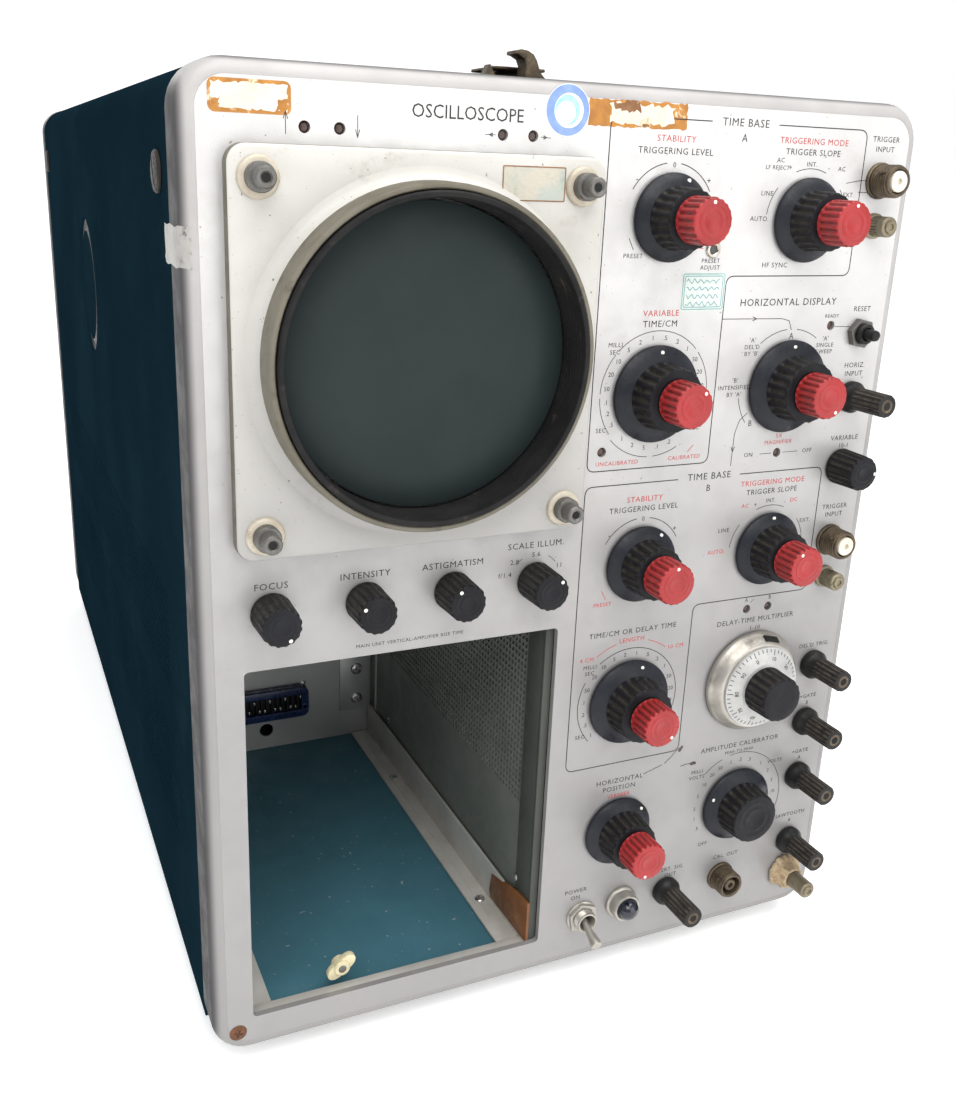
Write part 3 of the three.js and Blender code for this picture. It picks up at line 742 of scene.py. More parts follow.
def makeStudio():
    mesh = bpy.data.meshes.new("floor")
    sweep = [(-6, 0), (2.2, 0)] + [(2.2 + 1.6 * math.sin(a), 1.6 - 1.6 * math.cos(a)) for a in
                                  [math.radians(d) for d in range(10, 100, 10)]] + [(3.8, 7)]
    mesh.from_pydata([(x, y, z) for x in (-9, 9) for y, z in sweep], [],
                     [(i, i + len(sweep), i + len(sweep) + 1, i + 1) for i in range(len(sweep) - 1)])
    floor = newObject("floor", mesh)
    material = bpy.data.materials.new("floorPaper")
    material.use_nodes = True
    shader = material.node_tree.nodes["Principled BSDF"]
    shader.inputs["Base Color"].default_value = (*studioSpec["floor"], 1)
    shader.inputs["Roughness"].default_value = 0.9
    shader.inputs["Emission Color"].default_value = (1, 1, 1, 1)
    shader.inputs["Emission Strength"].default_value = studioSpec["paperGlow"]
    mesh.materials.append(material)
    world = bpy.data.worlds.new("studio")
    world.use_nodes = True
    world.node_tree.nodes["Background"].inputs[0].default_value = (*studioSpec["world"], 1)
    world.node_tree.nodes["Background"].inputs[1].default_value = studioSpec["worldStrength"]
    bpy.context.scene.world = world
    for name, spot, size, watts, colour in studioSpec["lamps"]:
        light = bpy.data.lights.new(name, "AREA")
        light.shape = "SQUARE"
        light.size, light.energy, light.color = size, watts, colour
        lamp = bpy.data.objects.new(name, light)
        bpy.context.scene.collection.objects.link(lamp)
        lamp.location = spot
        lamp.rotation_euler = (Vector((0, 0, 0.2)) - Vector(spot)).to_track_quat("-Z", "Y").to_euler()
    bpy.context.scene.view_settings.view_transform = "Standard"


makeCamera()
makeStudio()
print("camera and studio made")

caseSpec = {"cornerRadius": 17, "frameDepth": 22, "wall": 6.1, "skin": 1.6, "inset": 0.5,
            "bands": [(68.5, 123.5), (144, 195)], "bandFront": 75, "bandRear": 548,
            "dish": (333, 304.5, 41)}


def frameProfile(front, back, wall, rounding=6.0, steps=5):
    # front edge rounded; both distances are depths behind the panel face
    sign = 1 if back > front else -1
    points = [(0, back)]
    for i in range(steps + 1):
        angle = math.pi / 2 * i / steps
        points.append((rounding * (1 - math.cos(angle)), front + sign * rounding * (1 - math.sin(angle))))
    points += [(wall, front + sign * 0.05), (wall, back)]
    return points


def makeFrames():
    outline = roundedOutline(-halfWidth / mm, 0, halfWidth / mm, caseHeight / mm, caseSpec["cornerRadius"])
    wide = [(-x, z) for x, z in reversed(outline)]
    front = ringSweep("frontFrame", outline, frameProfile(0, caseSpec["frameDepth"], caseSpec["wall"]),
                      ("frameMetal",))
    place(front, "root", "cast_aluminium", "front_frame")
    back = ringSweep("rearFrame", wide, frameProfile(depth, depth - caseSpec["frameDepth"],
                                                     caseSpec["wall"]), ("frameMetal",))
    place(back, "root", "cast_aluminium", "rear_panel")


def perforatedCell(name, pitchX, pitchY, radius, thickness, sides=6):
    # one cell of punched sheet, centred on the origin, its faces at Z = 0 and below
    outer, inner = [], []
    for i in range(sides):
        angle = 2 * math.pi * (i + 0.5) / sides
        inner.append((radius * math.cos(angle), radius * math.sin(angle)))
    half = (pitchX / 2, pitchY / 2)
    for x, y in inner:
        scale = min(half[0] / abs(x) if abs(x) > 1e-9 else 1e9, half[1] / abs(y) if abs(y) > 1e-9 else 1e9)
        outer.append((x * scale, y * scale))
    rim = []
    for i, (x, y) in enumerate(outer):
        rim.append((x, y, i))
        nextX, nextY = outer[(i + 1) % sides]
        onSide = abs(abs(x) - half[0]) < 1e-6
        nextOnSide = abs(abs(nextX) - half[0]) < 1e-6
        if onSide != nextOnSide:
            rim.append((math.copysign(half[0], x if onSide else nextX),
                        math.copysign(half[1], nextY if onSide else y), None))
    verts, faces = [], []
    for z in (0, -thickness):
        verts += [(x * mm, y * mm, z * mm) for x, y in inner]
        verts += [(x * mm, y * mm, z * mm) for x, y, _ in rim]
    total = sides + len(rim)
    for a in range(len(rim)):
        b = (a + 1) % len(rim)
        here, there = rim[a][2], rim[b][2]
        ia = here if here is not None else rim[a - 1][2]
        if there is None:
            faces.append((sides + a, sides + b, ia))
        else:
            faces.append((sides + a, sides + b, there, ia))
    top = list(faces)
    faces += [tuple(reversed([i + total for i in face])) for face in top]
    for i in range(sides):
        j = (i + 1) % sides
        faces.append((j, i, i + total, j + total))
    mesh = bpy.data.meshes.new(name)
    mesh.from_pydata(verts, [], faces)
    return newObject(name, mesh)


def perforatedBand(name, x0, x1, y0, y1, pitch, radius, thickness, finishKey):
    # a rectangle of punched sheet in X and Y, in millimetres, made of equal cells
    columns, rows = round((x1 - x0) / pitch), round((y1 - y0) / pitch)
    px, py = (x1 - x0) / columns, (y1 - y0) / rows
    points = [(x0 + (i + 0.5) * px, y0 + (j + 0.5) * py, 0) for j in range(rows) for i in range(columns)]
    cell = perforatedCell(name + "Cell", px, py, radius, thickness)
    made = repeated(name, cell, points, Matrix.Identity(4), finishKey)
    work = bmesh.new()
    work.from_mesh(made.data)
    bmesh.ops.remove_doubles(work, verts=work.verts, dist=meshSpec["punchedWeld"])
    work.to_mesh(made.data)
    work.free()
    made.data.shade_flat()
    return made


def makeSideCover(name, side):
    # drawn flat in (depth behind the panel, height), then stood up on its side of the case
    spec = caseSpec
    front, rear = spec["frameDepth"] + 0.3, depth - spec["frameDepth"] - 0.3
    bend = spec["cornerRadius"] - spec["inset"]
    top = caseHeight / mm - spec["inset"] - bend
    dishY, dishZ, dishR = spec["dish"]
    windows = [[(spec["bandFront"], a), (spec["bandRear"], a), (spec["bandRear"], b),
                (spec["bandFront"], b)]
               for a, b in spec["bands"]]
    edge = [(front, 6), (rear, 6), (rear, top), (front, top)]
    parts = [flatSheet("coverSheet", [edge, *windows, circleOutline(dishY, dishZ, dishR, 48)], spec["skin"],
                       ("bluePaint",))]
    for i, (a, b) in enumerate(spec["bands"]):
        parts.append(perforatedBand(f"coverBand{i}", spec["bandFront"], spec["bandRear"], a, b, 4.3, 1.35,
                                    spec["skin"], "bluePaint"))
    t = spec["skin"]
    dishProfile = [(0, 0), (24, 0), (30, 0), (33, -0.6), (36, -2.2), (38.5, -2.6), (40, -1.6), (dishR, 0),
                   (dishR, -t),
                   (39.5, -t - 1.6), (38.5, -t - 2.6), (35, -t - 2.2), (32, -t - 0.6), (29, -t), (0, -t)]
    dish = turned("coverDish", dishProfile, ("bluePaint", "blackPlastic"), 48)
    # painted shade: the groove round the dish takes the dark black-plastic finish
    for face in dish.data.polygons:
        if 33.5 < math.hypot(face.center.x, face.center.y) / mm < 39.4:
            face.material_index = 1
    parts.append(moved(dish, shift(dishY, dishZ, 0)))
    steps = 10
    roll = []
    for r, order in ((bend, range(steps + 1)), (bend - t, range(steps, -1, -1))):
        for i in order:
            angle = math.pi / 2 * i / steps
            roll.append((top + r * math.sin(angle), -(bend - r * math.cos(angle))))
    verts = [(y * mm, z * mm, out * mm) for y in (front, rear) for z, out in roll]
    n = len(roll)
    faces = [(i, (i + 1) % n, (i + 1) % n + n,
              i + n) for i in range(n)] + [tuple(range(n)), tuple(range(2 * n - 1, n - 1, -1))]
    rolled = meshFrom("coverRoll", verts, faces, ("bluePaint",), 30)
    facesOut(rolled.data)
    parts.append(rolled)
    cover = joinPieces(name, parts)
    outer = halfWidth - spec["inset"] * mm
    if side < 0:
        stand = Matrix(((0, 0, -1, -outer), (1, 0, 0, panelY), (0, 1, 0, lift), (0, 0, 0, 1)))
        cover.data.transform(stand)
        cover.data.flip_normals()
    else:
        stand = Matrix(((0, 0, 1, outer), (1, 0, 0, panelY), (0, 1, 0, lift), (0, 0, 0, 1)))
        cover.data.transform(stand)
    place(cover, name.replace("Cover", "_cover"), "blue_wrinkle_paint", name.replace("Cover", "_cover"))


def latchHead(name):
    # quarter-turn button: domed disc with a wide slot, made along +Z
    profile = [(0, -6), (2.7, -6), (2.7, 0.3), (8, 0.3), (8, 1.0), (7.4, 1.7), (5.5, 2.1), (0, 2.25)]
    head = turned(name, profile, ("darkLatch",), 40)
    slot = moved(slab(name + "Slot", (11.5, 1.7, 2.4), "darkLatch"), shift(0, 0, 2.2))
    carve = head.modifiers.new("slot", "BOOLEAN")
    carve.operation = "DIFFERENCE"
    carve.object = slot
    carve.solver = "EXACT"
    made = bakeModifiers(head)
    bpy.data.objects.remove(slot)
    shadeSmooth(made, 35)
    return made


def makeCoverLatches():
    for sideName, side in (("left", -1), ("right", 1)):
        for where in ("front", "rear"):
            node = f"{sideName}_latch_{where}"
            low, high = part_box(node)
            middle = (low + high) / 2
            head = latchHead(sideName + "Latch" + where.title())
            turn = turnBy(90 * side, "Y") @ turnBy(25, "Z")
            head.data.transform(Matrix.Translation((side * (halfWidth - 0.5 * mm), middle.y,
                                                    middle.z)) @ turn)
            place(head, node, "nickel_plate", node)


def makeTopAndBottom():
    low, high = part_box("top_cover")
    a, b = low / mm, high / mm
    y0, y1 = (low.y - panelY) / mm, (high.y - panelY) / mm
    sheet = flatSheet("topCover", [roundedOutline(a.x, y0, b.x, y1, 1.5, 3)], 1.8, ("bluePaint",), 0.3)
    sheet.data.transform(Matrix.Translation((0, panelY, high.z)))
    place(sheet, "root", "blue_wrinkle_paint", "top_cover")
    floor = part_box("bottom_cover")
    reach = floor[1].x / mm
    y0, y1 = caseSpec["frameDepth"] + 0.3, depth - caseSpec["frameDepth"] - 0.3
    tray = flatSheet("bottomTray", [roundedOutline(-reach, y0, reach, y1, 1, 2)], 2, ("bayFloorPaint",))
    tray.data.transform(Matrix.Translation((0, panelY, floor[1].z)))
    apron = box("bottomApron", (-147, -3.6, 10), (150, -22.28, 12), ("bayFloorPaint",))
    place(joinPieces("bottomCover", [tray, apron]), "root", "blue_wrinkle_paint", "bottom_cover")
    for i, (x, y) in enumerate([(-130, 48), (130, 48), (-130, depth - 48), (130, depth - 48)]):
        profile = [(0, 2.5), (3.2, 2.5), (3.2, 0), (9.0, 0), (9.7, 0.8), (11, 19.5), (10, 20), (0, 20)]
        foot = turned(f"rubberFoot{i}", profile, ("rubber",), 36)
        foot.data.transform(Matrix.Translation((x * mm, panelY + y * mm, 0)))
        place(foot, "root", "blue_wrinkle_paint")


makeFrames()
makeSideCover("leftCover", -1)
makeSideCover("rightCover", 1)
makeCoverLatches()
makeTopAndBottom()
print("case made")

baySpec = {"x0": -147.3, "x1": -5, "z0": 18, "z1": 186, "back": 246}
tubeSpec = {"x": -75.5, "z": 311}
neonHoles = [(-120.5, 393), (-107.5, 393), (-42.9, 393.6), (-30, 393.7), (128.1, 318.1), (10.9, 266),
             (105.9, 259.6),
             (99.4, 181.5), (112.1, 181.6)]
panelHoles = {"neon": 2.15, "shaft": 4.0, "stem": 2.6, "button": 3.4, "lever": 5.2, "tube": 59.0,
              "corner": 11}
buttonPlace = (145, 314.4)
leverPlace = (18.7, 27)
shaftPlaces = [(35.1, 364.5), (106, 364.5), (35.1, 290.7), (106, 291), (35.1, 212.5), (106, 212.5),
               (35.1, 143.3),
               (35.1, 73), (106, 73), (106, 143), (-135.7, 210.5), (-96.5, 210.5), (-57.5, 210.5),
               (-18.5, 210.5),
               (144.6, 250.4)]
postPlaces = {"horizontal_input": (144.6, 284.4, 25), "delayed_trigger": (144.6, 146, 24),
              "gate_b": (144.6, 113.7, 24),
              "gate_a": (144.6, 81.8, 24), "sawtooth_a": (144.6, 42.5, 24),
              "vertical_signal": (67.8, 30, 26)}


def makePanel():
    margin = caseSpec["wall"] + 0.02
    edge = roundedOutline(-halfWidth / mm + margin, margin, halfWidth / mm - margin,
                          caseHeight / mm - margin,
                          panelHoles["corner"])
    holes = [roundedOutline(baySpec["x0"], baySpec["z0"], baySpec["x1"], baySpec["z1"], 2, 4)]
    holes += [circleOutline(x, z, panelHoles["neon"], 24) for x, z in neonHoles]
    holes += [circleOutline(x, z, panelHoles["shaft"], 20) for x, z in shaftPlaces]
    holes += [circleOutline(x, z, panelHoles["stem"], 16) for x, z, _ in postPlaces.values()]
    holes += [circleOutline(*buttonPlace, panelHoles["button"], 20),
              circleOutline(*leverPlace, panelHoles["lever"], 20)]
    holes += [circleOutline(tubeSpec["x"], tubeSpec["z"], panelHoles["tube"], 64)]
    sheet = flatSheet("frontPanel", [edge, *holes], 3, ("panelMetal",), 0.05, 1)
    sheet.data.transform(onPanel())
    place(sheet, "root", "anodised_panel", "front_panel")
    lenses = []
    for x, z in neonHoles:
        lens = turned("neonLens", [(0, -4), (1.9, -4), (1.9, -1.6), (1.3, -1.0), (0, -0.8)], ("neonLens",),
                      16)
        lenses.append(moved(lens, faceOut(x, z)))
    place(joinPieces("neonLenses", lenses), "root", "black_phenolic")


makePanel()
print("front panel made")

bezelSpec = {"x0": -150.3, "x1": -1, "z0": 235.4, "z1": 387, "corner": 7, "thickness": 7.7,
             "studs": [(-139.5, 375.8), (-11.4, 375.8), (-139.5, 245.5), (-11.4, 245.5)]}
filterSpec = {"radius": 58.7, "front": 10.15, "back": 8.25}


def onTube(piece):
    return moved(piece, faceOut(tubeSpec["x"], tubeSpec["z"]))


def makeBezel():
    s = bezelSpec
    outline = roundedOutline(s["x0"], s["z0"], s["x1"], s["z1"], s["corner"])
    plate = flatSheet("bezelPlate", [outline, circleOutline(tubeSpec["x"], tubeSpec["z"], 62.9, 96)],
                      s["thickness"], ("creamPaint",), 1.4, 3)
    plate.data.transform(onPanel(s["thickness"] + 0.3))
    ledge = turned("bezelLedge", [(59.6, 0.5), (63.4, 0.5), (63.4, 7.9), (59.6, 7.9)], ("creamPaint",), 96,
                   True)
    fillet = [(62.9, 6), (70.5, 6), (70.5, 8.05), (68.8, 8.3), (67.2, 9.1), (66.2, 10.4), (65.7, 12.2),
              (62.9, 12.2)]
    barrel = [(62.9, 12.1), (65.7, 12.1), (65.4, 22.6), (65.0, 23.5), (64.4, 23.9), (63.4, 23.9),
              (62.9, 23.4)]
    collar = turned("bezelCollar", fillet, ("creamPaint",), 96, True)
    # the band round the hood is dusty cream darkened as painted shade
    band = turned("bezelBand", barrel, ("dustyCream",), 96, True)
    # painted shade: the plate's side faces get the band's darker colour
    plate.data.materials.append(materials["dustyCream"])
    for face in plate.data.polygons:
        if abs(face.normal.y) < 0.45:
            face.material_index = 1
    bezel = joinPieces("tubeBezel", [plate, onTube(ledge), onTube(collar), onTube(band)])
    place(bezel, "root", "cream_paint", "crt_bezel")


def makeHoodAndFilter():
    # stepped inside like an anti-glare barrel
    profile = [(59.4, 8.4), (62.5, 8.4), (62.5, 25.2), (61.9, 25.9), (61.0, 26.0), (60.3, 25.6),
               (59.9, 24.4)]
    profile += [(59.9 if i % 2 else 59.5, 24.2 - i * 1.05) for i in range(1, 15)]
    hood = turned("lightHood", profile, ("hoodBlack",), 128, True)
    place(onTube(hood), "root", "black_phenolic", "crt_light_hood")
    f = filterSpec
    sheet = [(0, f["back"]), (f["radius"], f["back"]), (f["radius"], f["front"] - 0.5),
             (f["radius"] - 0.6, f["front"] - 0.1),
             (45, f["front"]), (20, f["front"]), (0, f["front"])]
    place(onTube(turned("contrastFilter", sheet, ("greenFilter",), 96)), "root", "green_filter",
          "crt_filter")


def makeBezelStuds():
    washer = [(0, 7.9), (7.6, 7.9), (7.6, 8.9), (7.2, 9.5), (6.4, 9.9), (0, 9.9)]
    nut = [(0, 9.6), (5.3, 9.6), (5.3, 13.4), (4.9, 13.9), (3.9, 14.1), (3.8, 20.0), (3.3, 20.6),
           (2.2, 20.6), (1.7, 20.0), (0, 20.0)]
    parts = []
    for i, (x, z) in enumerate(bezelSpec["studs"]):
        for piece in (turned("studWasher", washer, ("creamWasher",), 40),
                      turned("studNut", nut, ("studMetal",), 40),
                      # the dark disc is painted shade for the hole in the nut
                      turned("studHole", [(0, 19.6), (1.66, 19.6), (1.66, 20.06), (0, 20.06)],
                             ("holeDark",), 20)):
            parts.append(moved(piece, faceOut(x, z, 0, 17 * i)))
    place(joinPieces("bezelStuds", parts), "root", "nickel_plate")


def makeTubeInside():
    x, z = tubeSpec["x"], tubeSpec["z"]
    base = turned("tubeBase", [(0, -405), (18, -405), (24, -407.4), (24, -426), (22, -428), (0, -428)],
                  ("brownBoard",), 36)
    gun = turned("tubeGun", [(0, -226), (9, -226), (9, -250), (14, -252), (14, -290), (10, -292),
                             (10, -310), (15, -312),
                             (15, -380), (6, -384), (5.5, -406), (0, -406)], ("brightMetal",), 32)
    place(joinPieces("gunAndBase", [moved(base, faceOut(x, z)), moved(gun, faceOut(x, z))]), "root",
          "brown_phenolic", "crt_gun_and_base")
    socket = [(0, -428.4), (25, -428.4), (27, -430), (27, -441), (25, -443), (9, -443.2), (0, -443.2)]
    place(onTube(turned("tubeSocket", socket, ("blackPlastic",), 36)), "root", "black_phenolic",
          "crt_socket")
    shell = [(67.2, -20), (68.8, -20), (69, -22), (69, -60), (66.4, -72), (33, -215), (33, -414.6),
             (31, -415),
             (31, -214), (64, -72), (67.2, -59)]
    shield = turned("tubeShield", shell, ("darkSteel",), 64, True)
    place(onTube(shield), "root", "dark_steel", "crt_shield")
    clamps = []
    for back in (70, 400):
        radius = 69.4 if back == 70 else 33.4
        band = turned("shieldBand", [(radius - 0.2, -back), (radius + 1.1, -back),
                                     (radius + 1.1, -back - 12),
                                     (radius - 0.2, -back - 12)], ("sheetMetal",), 64, True)
        clamps.append(onTube(band))
    place(joinPieces("shieldClamps", clamps), "root", "plated_sheet")


makeBezel()
makeHoodAndFilter()
makeBezelStuds()
makeTubeInside()
print("cathode ray tube made")

# dot angles are clockwise from straight up, seen from the front
knobSpec = {
    "knob_level_a": {"flange": 18, "body": 12.5, "dot": 20, "cap": "cap_stability_a", "capDot": 0},
    "knob_slope_a": {"flange": 18, "body": 12.5, "dot": 60, "cap": "cap_mode_a", "capDot": 5},
    "knob_time_a": {"flange": 21.3, "body": 14.2, "dot": 0, "cap": "cap_variable_a", "capDot": 42},
    "knob_display": {"flange": 21.3, "body": 14.2, "dot": 0, "cap": "cap_magnifier", "capDot": 150},
    "knob_level_b": {"flange": 18, "body": 12.5, "dot": 30, "cap": "cap_stability_b", "capDot": 0},
    "knob_slope_b": {"flange": 18, "body": 12.5, "dot": 0, "cap": "cap_mode_b", "capDot": -30},
    "knob_time_b": {"flange": 21.3, "body": 14.2, "dot": 14, "cap": "cap_length_b", "capDot": 135},
    "knob_position": {"flange": 18, "body": 12.5, "dot": 44, "cap": "cap_vernier", "capDot": 195},
    "knob_calibrator": {"flange": 20, "body": 13.5, "dot": -68, "cap": None, "capDot": 0},
}
smallKnobDots = {"knob_focus": 150, "knob_intensity": -60, "knob_astigmatism": -32, "knob_scale_illum": 45,
                 "knob_variable_gain": 92}
gripSpec = {"flutes": 20, "fluteDepth": 1.2, "edge": 1.3, "sharp": 1.5, "steps": 12, "start": 0.0,
            "end": 0.80}
capSpec = {"radius": 9.5, "length": 11.95, "flutes": 20, "fluteDepth": 0.85, "edge": 1.5, "sharp": 1.6,
           "steps": 12,
           "start": 0.0, "end": 0.80}


def axisOf(node):
    x0, x1, _, _, z0, z1 = extentOf(node)
    return (x0 + x1) / 2, (z0 + z1) / 2


def whiteDot(angle, radius, out, size=0.95):
    turn = math.radians(angle)
    dot = turned("whiteDot", [(0, out - 0.3), (size, out - 0.3), (size, out + 0.06),
                              (size * 0.7, out + 0.14), (0, out + 0.16)],
                 ("whiteInk",), 14)
    # the piece is turned by faceOut, which keeps +Y as up on the panel
    return moved(dot, shift(radius * math.sin(turn), radius * math.cos(turn), 0))


def ringedTop(name, radius, out, finishKey):
    # moulded rings on the front face of a grip
    profile = [(0, out - 0.4), (radius, out - 0.4), (radius, out + 0.03), (radius * 0.93, out + 0.2),
               (radius * 0.86, out + 0.03),
               (radius * 0.62, out + 0.03), (radius * 0.58, out + 0.18), (radius * 0.54, out + 0.03),
               (0, out + 0.03)]
    return turned(name, profile, (finishKey,), 48)


def makeDualKnob(node, spec):
    x, z = axisOf(node)
    flange, body = spec["flange"], spec["body"]
    skirtProfile = [(0, -12.5), (3.4, -12.5), (3.4, 0.85), (flange - 0.3, 0.85), (flange, 1.2),
                    (flange, 2.2),
                    (flange - 0.4, 2.8), (body + 2.2, 4.6), (body + 0.6, 5.4), (body - 1, 6.2), (0, 6.2)]
    skirt = turned(node + "Skirt", skirtProfile, ("knobSkirt",), 64)
    grip = flutedGrip(node + "Grip", {**gripSpec, "radius": body - 0.25, "baseRadius": body + 0.5,
                                      "length": 12.15}, "blackKnob")
    grip.data.transform(shift(0, 0, 5.6))
    face = ringedTop(node + "Face", body * 0.76, 17.76, "blackKnob")
    slope = math.atan2(1.8, flange - body - 2.6)
    dotRadius = (flange + body) / 2 + 0.6
    dotOut = 2.8 + (flange - dotRadius) * math.tan(slope) * 0.92
    parts = [skirt, grip, face, whiteDot(spec["dot"], dotRadius, dotOut, 0.9)]
    knob = joinPieces(node.replace("knob_", "switchKnob_"), parts)
    place(moved(knob, faceOut(x, z)), node, "black_phenolic", node)
    if not spec["cap"]:
        return
    cap = flutedGrip(spec["cap"] + "Grip", capSpec, "redKnob")
    cap.data.transform(shift(0, 0, 18.7))
    capFace = ringedTop(spec["cap"] + "Face", 6.6, 30.70, "redKnob")
    pin = turned(spec["cap"] + "Shaft", [(0, -19), (1.7, -19), (1.7, 19), (0, 19)], ("brightMetal",), 16)
    made = joinPieces(spec["cap"].replace("cap_", "redCap_"),
                      [cap, capFace, pin, whiteDot(spec["capDot"], 7.4, 30.68, 0.75)])
    place(moved(made, faceOut(x, z)), spec["cap"], "red_plastic", spec["cap"])


def makeSmallKnob(node, dot):
    x, z = axisOf(node)
    grip = flutedGrip(node + "Grip", {**gripSpec, "radius": 8.35, "baseRadius": 8.7, "length": 16.35,
                                      "edge": 1.6,
                                      "flutes": 16, "fluteDepth": 0.85}, "blackKnob")
    grip.data.transform(shift(0, 0, 0.95))
    shaft = turned(node + "Shaft", [(0, -12.5), (3, -12.5), (3, 2), (0, 2)], ("brightMetal",), 20)
    face = ringedTop(node + "Face", 5.9, 17.32, "blackKnob")
    knob = joinPieces(node.replace("knob_", "smallKnob_"),
                      [grip, shaft, face, whiteDot(dot, 6.4, 17.32, 0.8)])
    place(moved(knob, faceOut(x, z)), node, "black_phenolic", node)


for node, spec in knobSpec.items():
    makeDualKnob(node, spec)
for node, dot in smallKnobDots.items():
    makeSmallKnob(node, dot)
print("knobs made")

postSpec = {"barrel": {"radius": 5.45, "flutes": 14, "fluteDepth": 0.65, "edge": 0.7, "sharp": 1.3,
                       "steps": 8,
                       "start": 0.0, "end": 0.79}}
coaxPlaces = [("triggerSocketA", 144.6, 382.1, 12, True), ("triggerSocketB", 144.6, 212.9, 12, True),
              ("calibratorSocket", 102.5, 29.5, 10.5, False)]
groundPlaces = [(144.6, 362.6, 11.5), (144.6, 193.7, 11.5), (144.6, 23, 22)]


def hexNut(name, across, height, bore, finishKey):
    sides = circleOutline(0, 0, across / 2 / math.cos(math.pi / 6), 6)
    nut = flatSheet(name, [sides, circleOutline(0, 0, bore, 24)], height, (finishKey,), 0.25, 2)
    return moved(nut, shift(0, 0, height))


def makeBindingPost(key, x, z, length):
    node = "post_" + key
    foot = turned(node + "Foot", [(2.1, 0.6), (7.4, 0.6), (7.5, 1.2), (7.5, 3.2), (6.9, 4.2), (6.0, 5.4),
                                  (5.6, 6.6), (5.3, 7.4),
                                  (2.1, 7.4)], ("blackPlastic",), 40, True)
    barrel = flutedGrip(node + "Barrel", {**postSpec["barrel"], "length": length - 6.8}, "blackPlastic")
    barrel.data.transform(shift(0, 0, 6.8))
    lining = turned(node + "Lining", [(1.9, length - 0.6), (3.1, length - 0.6), (3.1, length + 0.04),
                                      (2.5, length + 0.1),
                                      (1.9, length + 0.04)], ("agedMetal",), 28, True)
    # the dark disc at the tip is painted shade inside the post's hole
    dark = turned(node + "Hole", [(0, length - 0.4), (2.1, length - 0.4), (2.1, length + 0.02),
                                  (0, length + 0.02)],
                  ("holeDark",), 24)
    stem = turned(node + "Stem", [(0, -12.5), (2, -12.5), (2, 1.2), (0, 1.2)], ("brightMetal",), 20)
    post = joinPieces("bindingPost_" + key, [foot, barrel, lining, dark, stem])
    place(moved(post, faceOut(x, z)), node, "black_phenolic", node)


def makeCoax(name, x, z, length, hasCore):
    finishKey = "agedMetal"
    flange = turned(name + "Flange", [(0, 0.05), (7.9, 0.05), (7.9, 1.1), (7.3, 1.6), (0, 1.6)],
                    (finishKey,), 40)
    thread = [(6.4, 1.5)]
    count = 7
    for i in range(count):
        low = 1.8 + i * (length - 2.6) / count
        thread += [(6.5, low), (7.1, low + 0.35), (7.1, low + 0.75), (6.5, low + 1.1)]
    thread += [(6.7, length - 0.5), (6.4, length), (5.4, length), (5.1, length - 0.4), (5.1, 3), (4.9, 1.5)]
    barrel = turned(name + "Barrel", thread, (finishKey,), 48, True)
    # the dark disc in the well is painted shade inside the socket
    dark = turned(name + "Well", [(0, 2.0), (5.3, 2.0), (5.3, 3.2), (0, 3.2)], ("holeDark",), 32)
    parts = [flange, barrel, dark]
    core = (4.5, length + 0.8) if hasCore else (3.2, length - 1.0)
    parts.append(turned(name + "Core", [(0, 2.5), (core[0], 2.5), (core[0], core[1] - 0.4),
                                        (core[0] - 0.4, core[1]), (1.5, core[1]),
                                        (1.4, core[1] - 1.4), (0, core[1] - 1.4)],
                                        ("ivory" if hasCore else "agedMetal",), 32))
    for side in (-1, 1):
        lug = turned(name + "Lug", [(0, 0), (1.0, 0), (1.0, 2.0), (0.7, 2.3), (0, 2.3)], (finishKey,), 14)
        turn = shift(side * 6.0, 0, length - 3.4) @ turnBy(90 * side, "Y")
        parts.append(moved(lug, turn))
    place(moved(joinPieces(name, parts), faceOut(x, z, 0, 30)), "root", "nickel_plate")


def makeGroundPosts():
    parts = []
    for i, (x, z, length) in enumerate(groundPlaces):
        base = turned("groundBase", [(0, 0.05), (5.6, 0.05), (5.6, 1.4), (5.0, 1.8), (0, 1.8)],
                      ("groundMetal",), 32)
        grip = flutedGrip("groundGrip", {"radius": 4.5, "length": length - 2.6, "flutes": 22,
                                         "fluteDepth": 0.3, "edge": 0.8,
                                         "sharp": 1.0, "steps": 6, "start": 0.0,
                                         "end": 0.5 if length < 15 else 0.36}, "groundMetal")
        grip.data.transform(shift(0, 0, 1.7))
        tip = turned("groundTip", [(0, length - 1.4), (3.0, length - 1.4), (3.0, length - 0.6),
                                   (2.6, length), (1.5, length),
                                   (1.3, length - 0.6), (0, length - 0.6)], ("groundMetal",), 24)
        for part in (base, grip, tip):
            parts.append(moved(part, faceOut(x, z, 0, i * 7)))
    place(joinPieces("groundPosts", parts), "root", "nickel_plate")


def makeResetButton():
    x, z = axisOf("reset_button")
    nut = hexNut("resetNut", 12.2, 3.2, 4.6, "studMetal")
    nut.data.transform(shift(0, 0, 0.1))
    bushing = turned("resetBushing", [(3.0, 0.1), (4.7, 0.1), (4.7, 5.6), (4.3, 6.1), (3.2, 6.1),
                                      (3.0, 5.8)], ("blackPlastic",), 28, True)
    place(moved(joinPieces("resetBush", [nut, bushing]), faceOut(x, z, 0, 12)), "root", "nickel_plate")
    plunger = turned("resetPlunger", [(0, -8), (2.6, -8), (2.6, 10.6), (2.3, 11.7), (1.4, 12.2), (0, 12.3)],
                     ("blackPlastic",), 28)
    place(moved(plunger, faceOut(x, z)), "reset_button", "black_phenolic", "reset_button")


